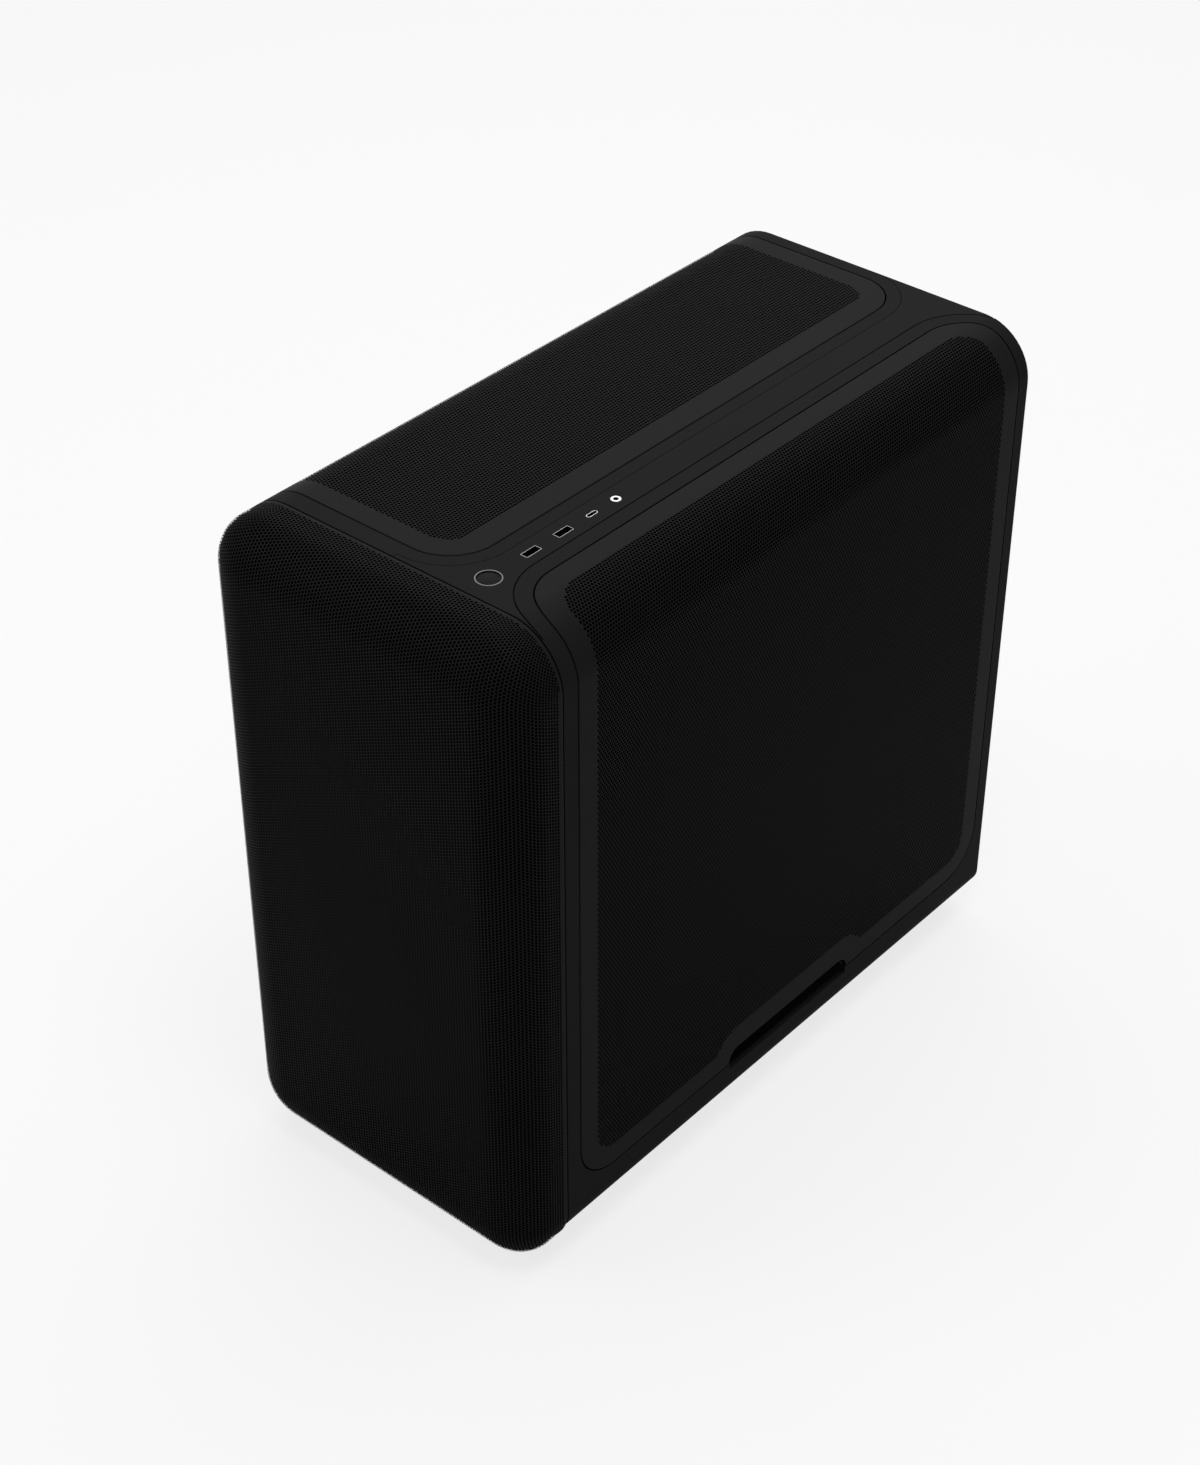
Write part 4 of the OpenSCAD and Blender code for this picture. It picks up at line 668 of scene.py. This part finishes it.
# Here sizes are in metres, as in the CAD mesh that the strip is cut from.
narrower, side_from, side_to = 0.0005, 0.0645, 0.1125
strip_mesh = parts["port_strip"].data.copy()
strip_mesh.name = "strip_top"
strip_mesh.materials.clear()
strip_mesh.materials.append(dull_black("strip_abs", "#171717", 0.5, 0.5, 12, 0.02))
edge_ways = {}
for face in strip_mesh.polygons:
    upright = abs(face.normal.z) < 0.3
    outward = face.normal.x > 0.1 or face.normal.y > 0.3
    if upright and outward and face.center.x > side_from:
        for index in face.vertices:
            spot = tuple(round(c, 5) for c in strip_mesh.vertices[index].co)
            way = edge_ways.setdefault(spot, [0.0, 0.0])
            way[0] += face.normal.x * face.area
            way[1] += face.normal.y * face.area
for vertex in strip_mesh.vertices:
    way = edge_ways.get(tuple(round(c, 5) for c in vertex.co))
    if way and vertex.co.x < side_to:
        long = math.hypot(*way)
        vertex.co.x -= narrower * way[0] / long
        vertex.co.y -= narrower * way[1] / long
seat_piece("strip_top", strip_mesh, "chassis", "port_strip")

# The cap comes from a smoother tool than the strip, so it looks a little deeper black.
dress(dull_black("button_abs", "#101010", 0.4, 0.4, 3, 0.03), "power_button")


# Ports
# Plated steel shells and turned aluminium rings over black moulded tongues. They keep their metal colour
# only at the top edge and are painted black below it, as shade inside the port.

def bare_metal(name, colour, roughness, shade_below=None):
    """Metal with fine drawn lines, about a millimetre apart so that they show at all. Below the given
    height, in metres, its colour is painted black, as shade inside its port."""
    finish = bpy.data.materials.new(name)
    finish.use_nodes = True
    tree = finish.node_tree
    tree.nodes.clear()
    spread = 0.08
    place = add(tree, "ShaderNodeTexCoord").outputs["Object"]
    drawn = add(tree, "ShaderNodeMapping", {"Vector": place, "Scale": (1, 1, 12)})
    lines = add(tree, "ShaderNodeTexNoise", {"Vector": drawn.outputs[0], "Scale": 900.0, "Detail": 2.0})
    rough = add(tree, "ShaderNodeMapRange",
                {"Value": lines.outputs["Fac"], "To Min": roughness - spread, "To Max": roughness + spread})
    tint = hex_rgb(colour)
    # Painted shade: below the given height the colour is scaled to black.
    if shade_below is not None:
        up = add(tree, "ShaderNodeSeparateXYZ", {"Vector": place})
        above_shade = add(tree, "ShaderNodeMath", {0: up.outputs["Z"], 1: shade_below}, operation="GREATER_THAN")
        tint = add(tree, "ShaderNodeVectorMath", {0: tint[:3], "Scale": above_shade.outputs[0]},
                   operation="SCALE").outputs["Vector"]
    surface = add(tree, "ShaderNodeBsdfPrincipled",
                  {"Base Color": tint, "Metallic": 1.0, "Roughness": rough.outputs["Result"]})
    add(tree, "ShaderNodeOutputMaterial", {"Surface": surface.outputs[0]})
    return finish


# The button's ring is turned and then anodised dark, and the jack's ring is left as turned, which makes it
#  the brightest spot of the strip. Below their top edges both are painted black, as shade inside the strip.
dress(bare_metal("dark_anodised_aluminium", "#5c5d5f", 0.35, 0.4996), "button_ring")
dress(bare_metal("turned_aluminium", "#c4c5c6", 0.3, 0.4996), "audio_jack")

# The shells are rolled from thin strip. Nickel gives the small one a warm white edge, and the two large ones
#  a greyer, more satin one. Below that edge they are painted black, as shade inside the port.
dress(bare_metal("nickel_plated_steel", "#c2c1bd", 0.3, 0.4993), "usb_c_port")
dress(bare_metal("satin_nickel", "#8c8b88", 0.35, 0.4995), "usb_a_port_1", "usb_a_port_2")

# ABS moulded from a plainer tool than the frame's, slightly glossier. The tongues are black moulded too, but
# darker still and with no shine at all: painted shade deep in their ports.
moulded_black = dull_black("moulded_black_abs", "#0e0e0e", 0.5, 0.6, 10, 0.06)
dress(moulded_black, "power_switch")
dress(dull_black("tongue_black_and_painted_shade", "#030303", 0.8, 0.6, 4, 0.0), "port_tongues")

# Glass-fibre board under a green lacquer, which looks nearly black in the case.
dress(dull_black("green_solder_mask", "#0d1a12", 0.35, 0.8, 4, 0.3), "port_board")


# Studs and sockets
# Ball studs turned from steel, zinc plated to a dull grey shine and riveted to the panels. They are pushed
# into sockets moulded in black, as is the ring that carries the front panel.

dress(bare_metal("zinc_plated_steel", "#9a9996", 0.35),
      "right_panel_studs", "left_panel_studs", "top_panel_studs", "front_panel_studs")
dress(moulded_black, "right_panel_sockets", "left_panel_sockets", "top_panel_sockets",
      "front_panel_sockets", "front_carrier")


# Chassis
# Folded and stamped steel sheets, powder coated black before they were riveted together, so they are as
# matt as the panels but a shade lighter. The drive trays and the filter's rails are moulded in black.

chassis_coat = dull_black("chassis_powder_coat", "#181818", 0.5, 0.4, 10, 0.03)
dress(chassis_coat, "floor_pan", "rear_wall", "front_wall", "roof_plate", "motherboard_tray", "psu_shroud",
      "slot_covers", "drive_cage", "ssd_bracket_1", "ssd_bracket_2")
dress(moulded_black, "drive_tray_1", "drive_tray_2", "filter_rails")

# Screws of turned steel, blackened in a salt bath and oiled: darker than bare steel, with a slight gleam.
dress(dull_black("blackened_steel", "#1e1e1e", 0.4, 0.5, 5, 0.4), "slot_screws", "ssd_screws", "fan_screws")

# Standoffs turned from yellow brass rod, the one warm colour inside.
dress(bare_metal("turned_brass", "#b08d4a", 0.3), "standoffs")


# Fans
# Glass-filled nylon frames and rotors, moulded in black. The glass leaves them with a slight satin.

fan_nylon = dull_black("fan_nylon", "#131313", 0.45, 0.7, 8, 0.2)
dress(fan_nylon, *["front_fan_frame_%d" % i for i in (1, 2, 3)],
      *["front_fan_rotor_%d" % i for i in (1, 2, 3)], "rear_fan_frame", "rear_fan_rotor")


# Feet and rubber
# Feet of the same moulded ABS as the sockets. Their pads and the lips in the cable slots are moulded from
# soft black rubber, which is dull and hardly gleams.

dress(moulded_black, "foot_front_left", "foot_front_right", "foot_rear_left", "foot_rear_right")
dress(dull_black("soft_rubber", "#0c0c0c", 0.8, 0.8, 15, 0.05), "foot_pads", "cable_grommets")
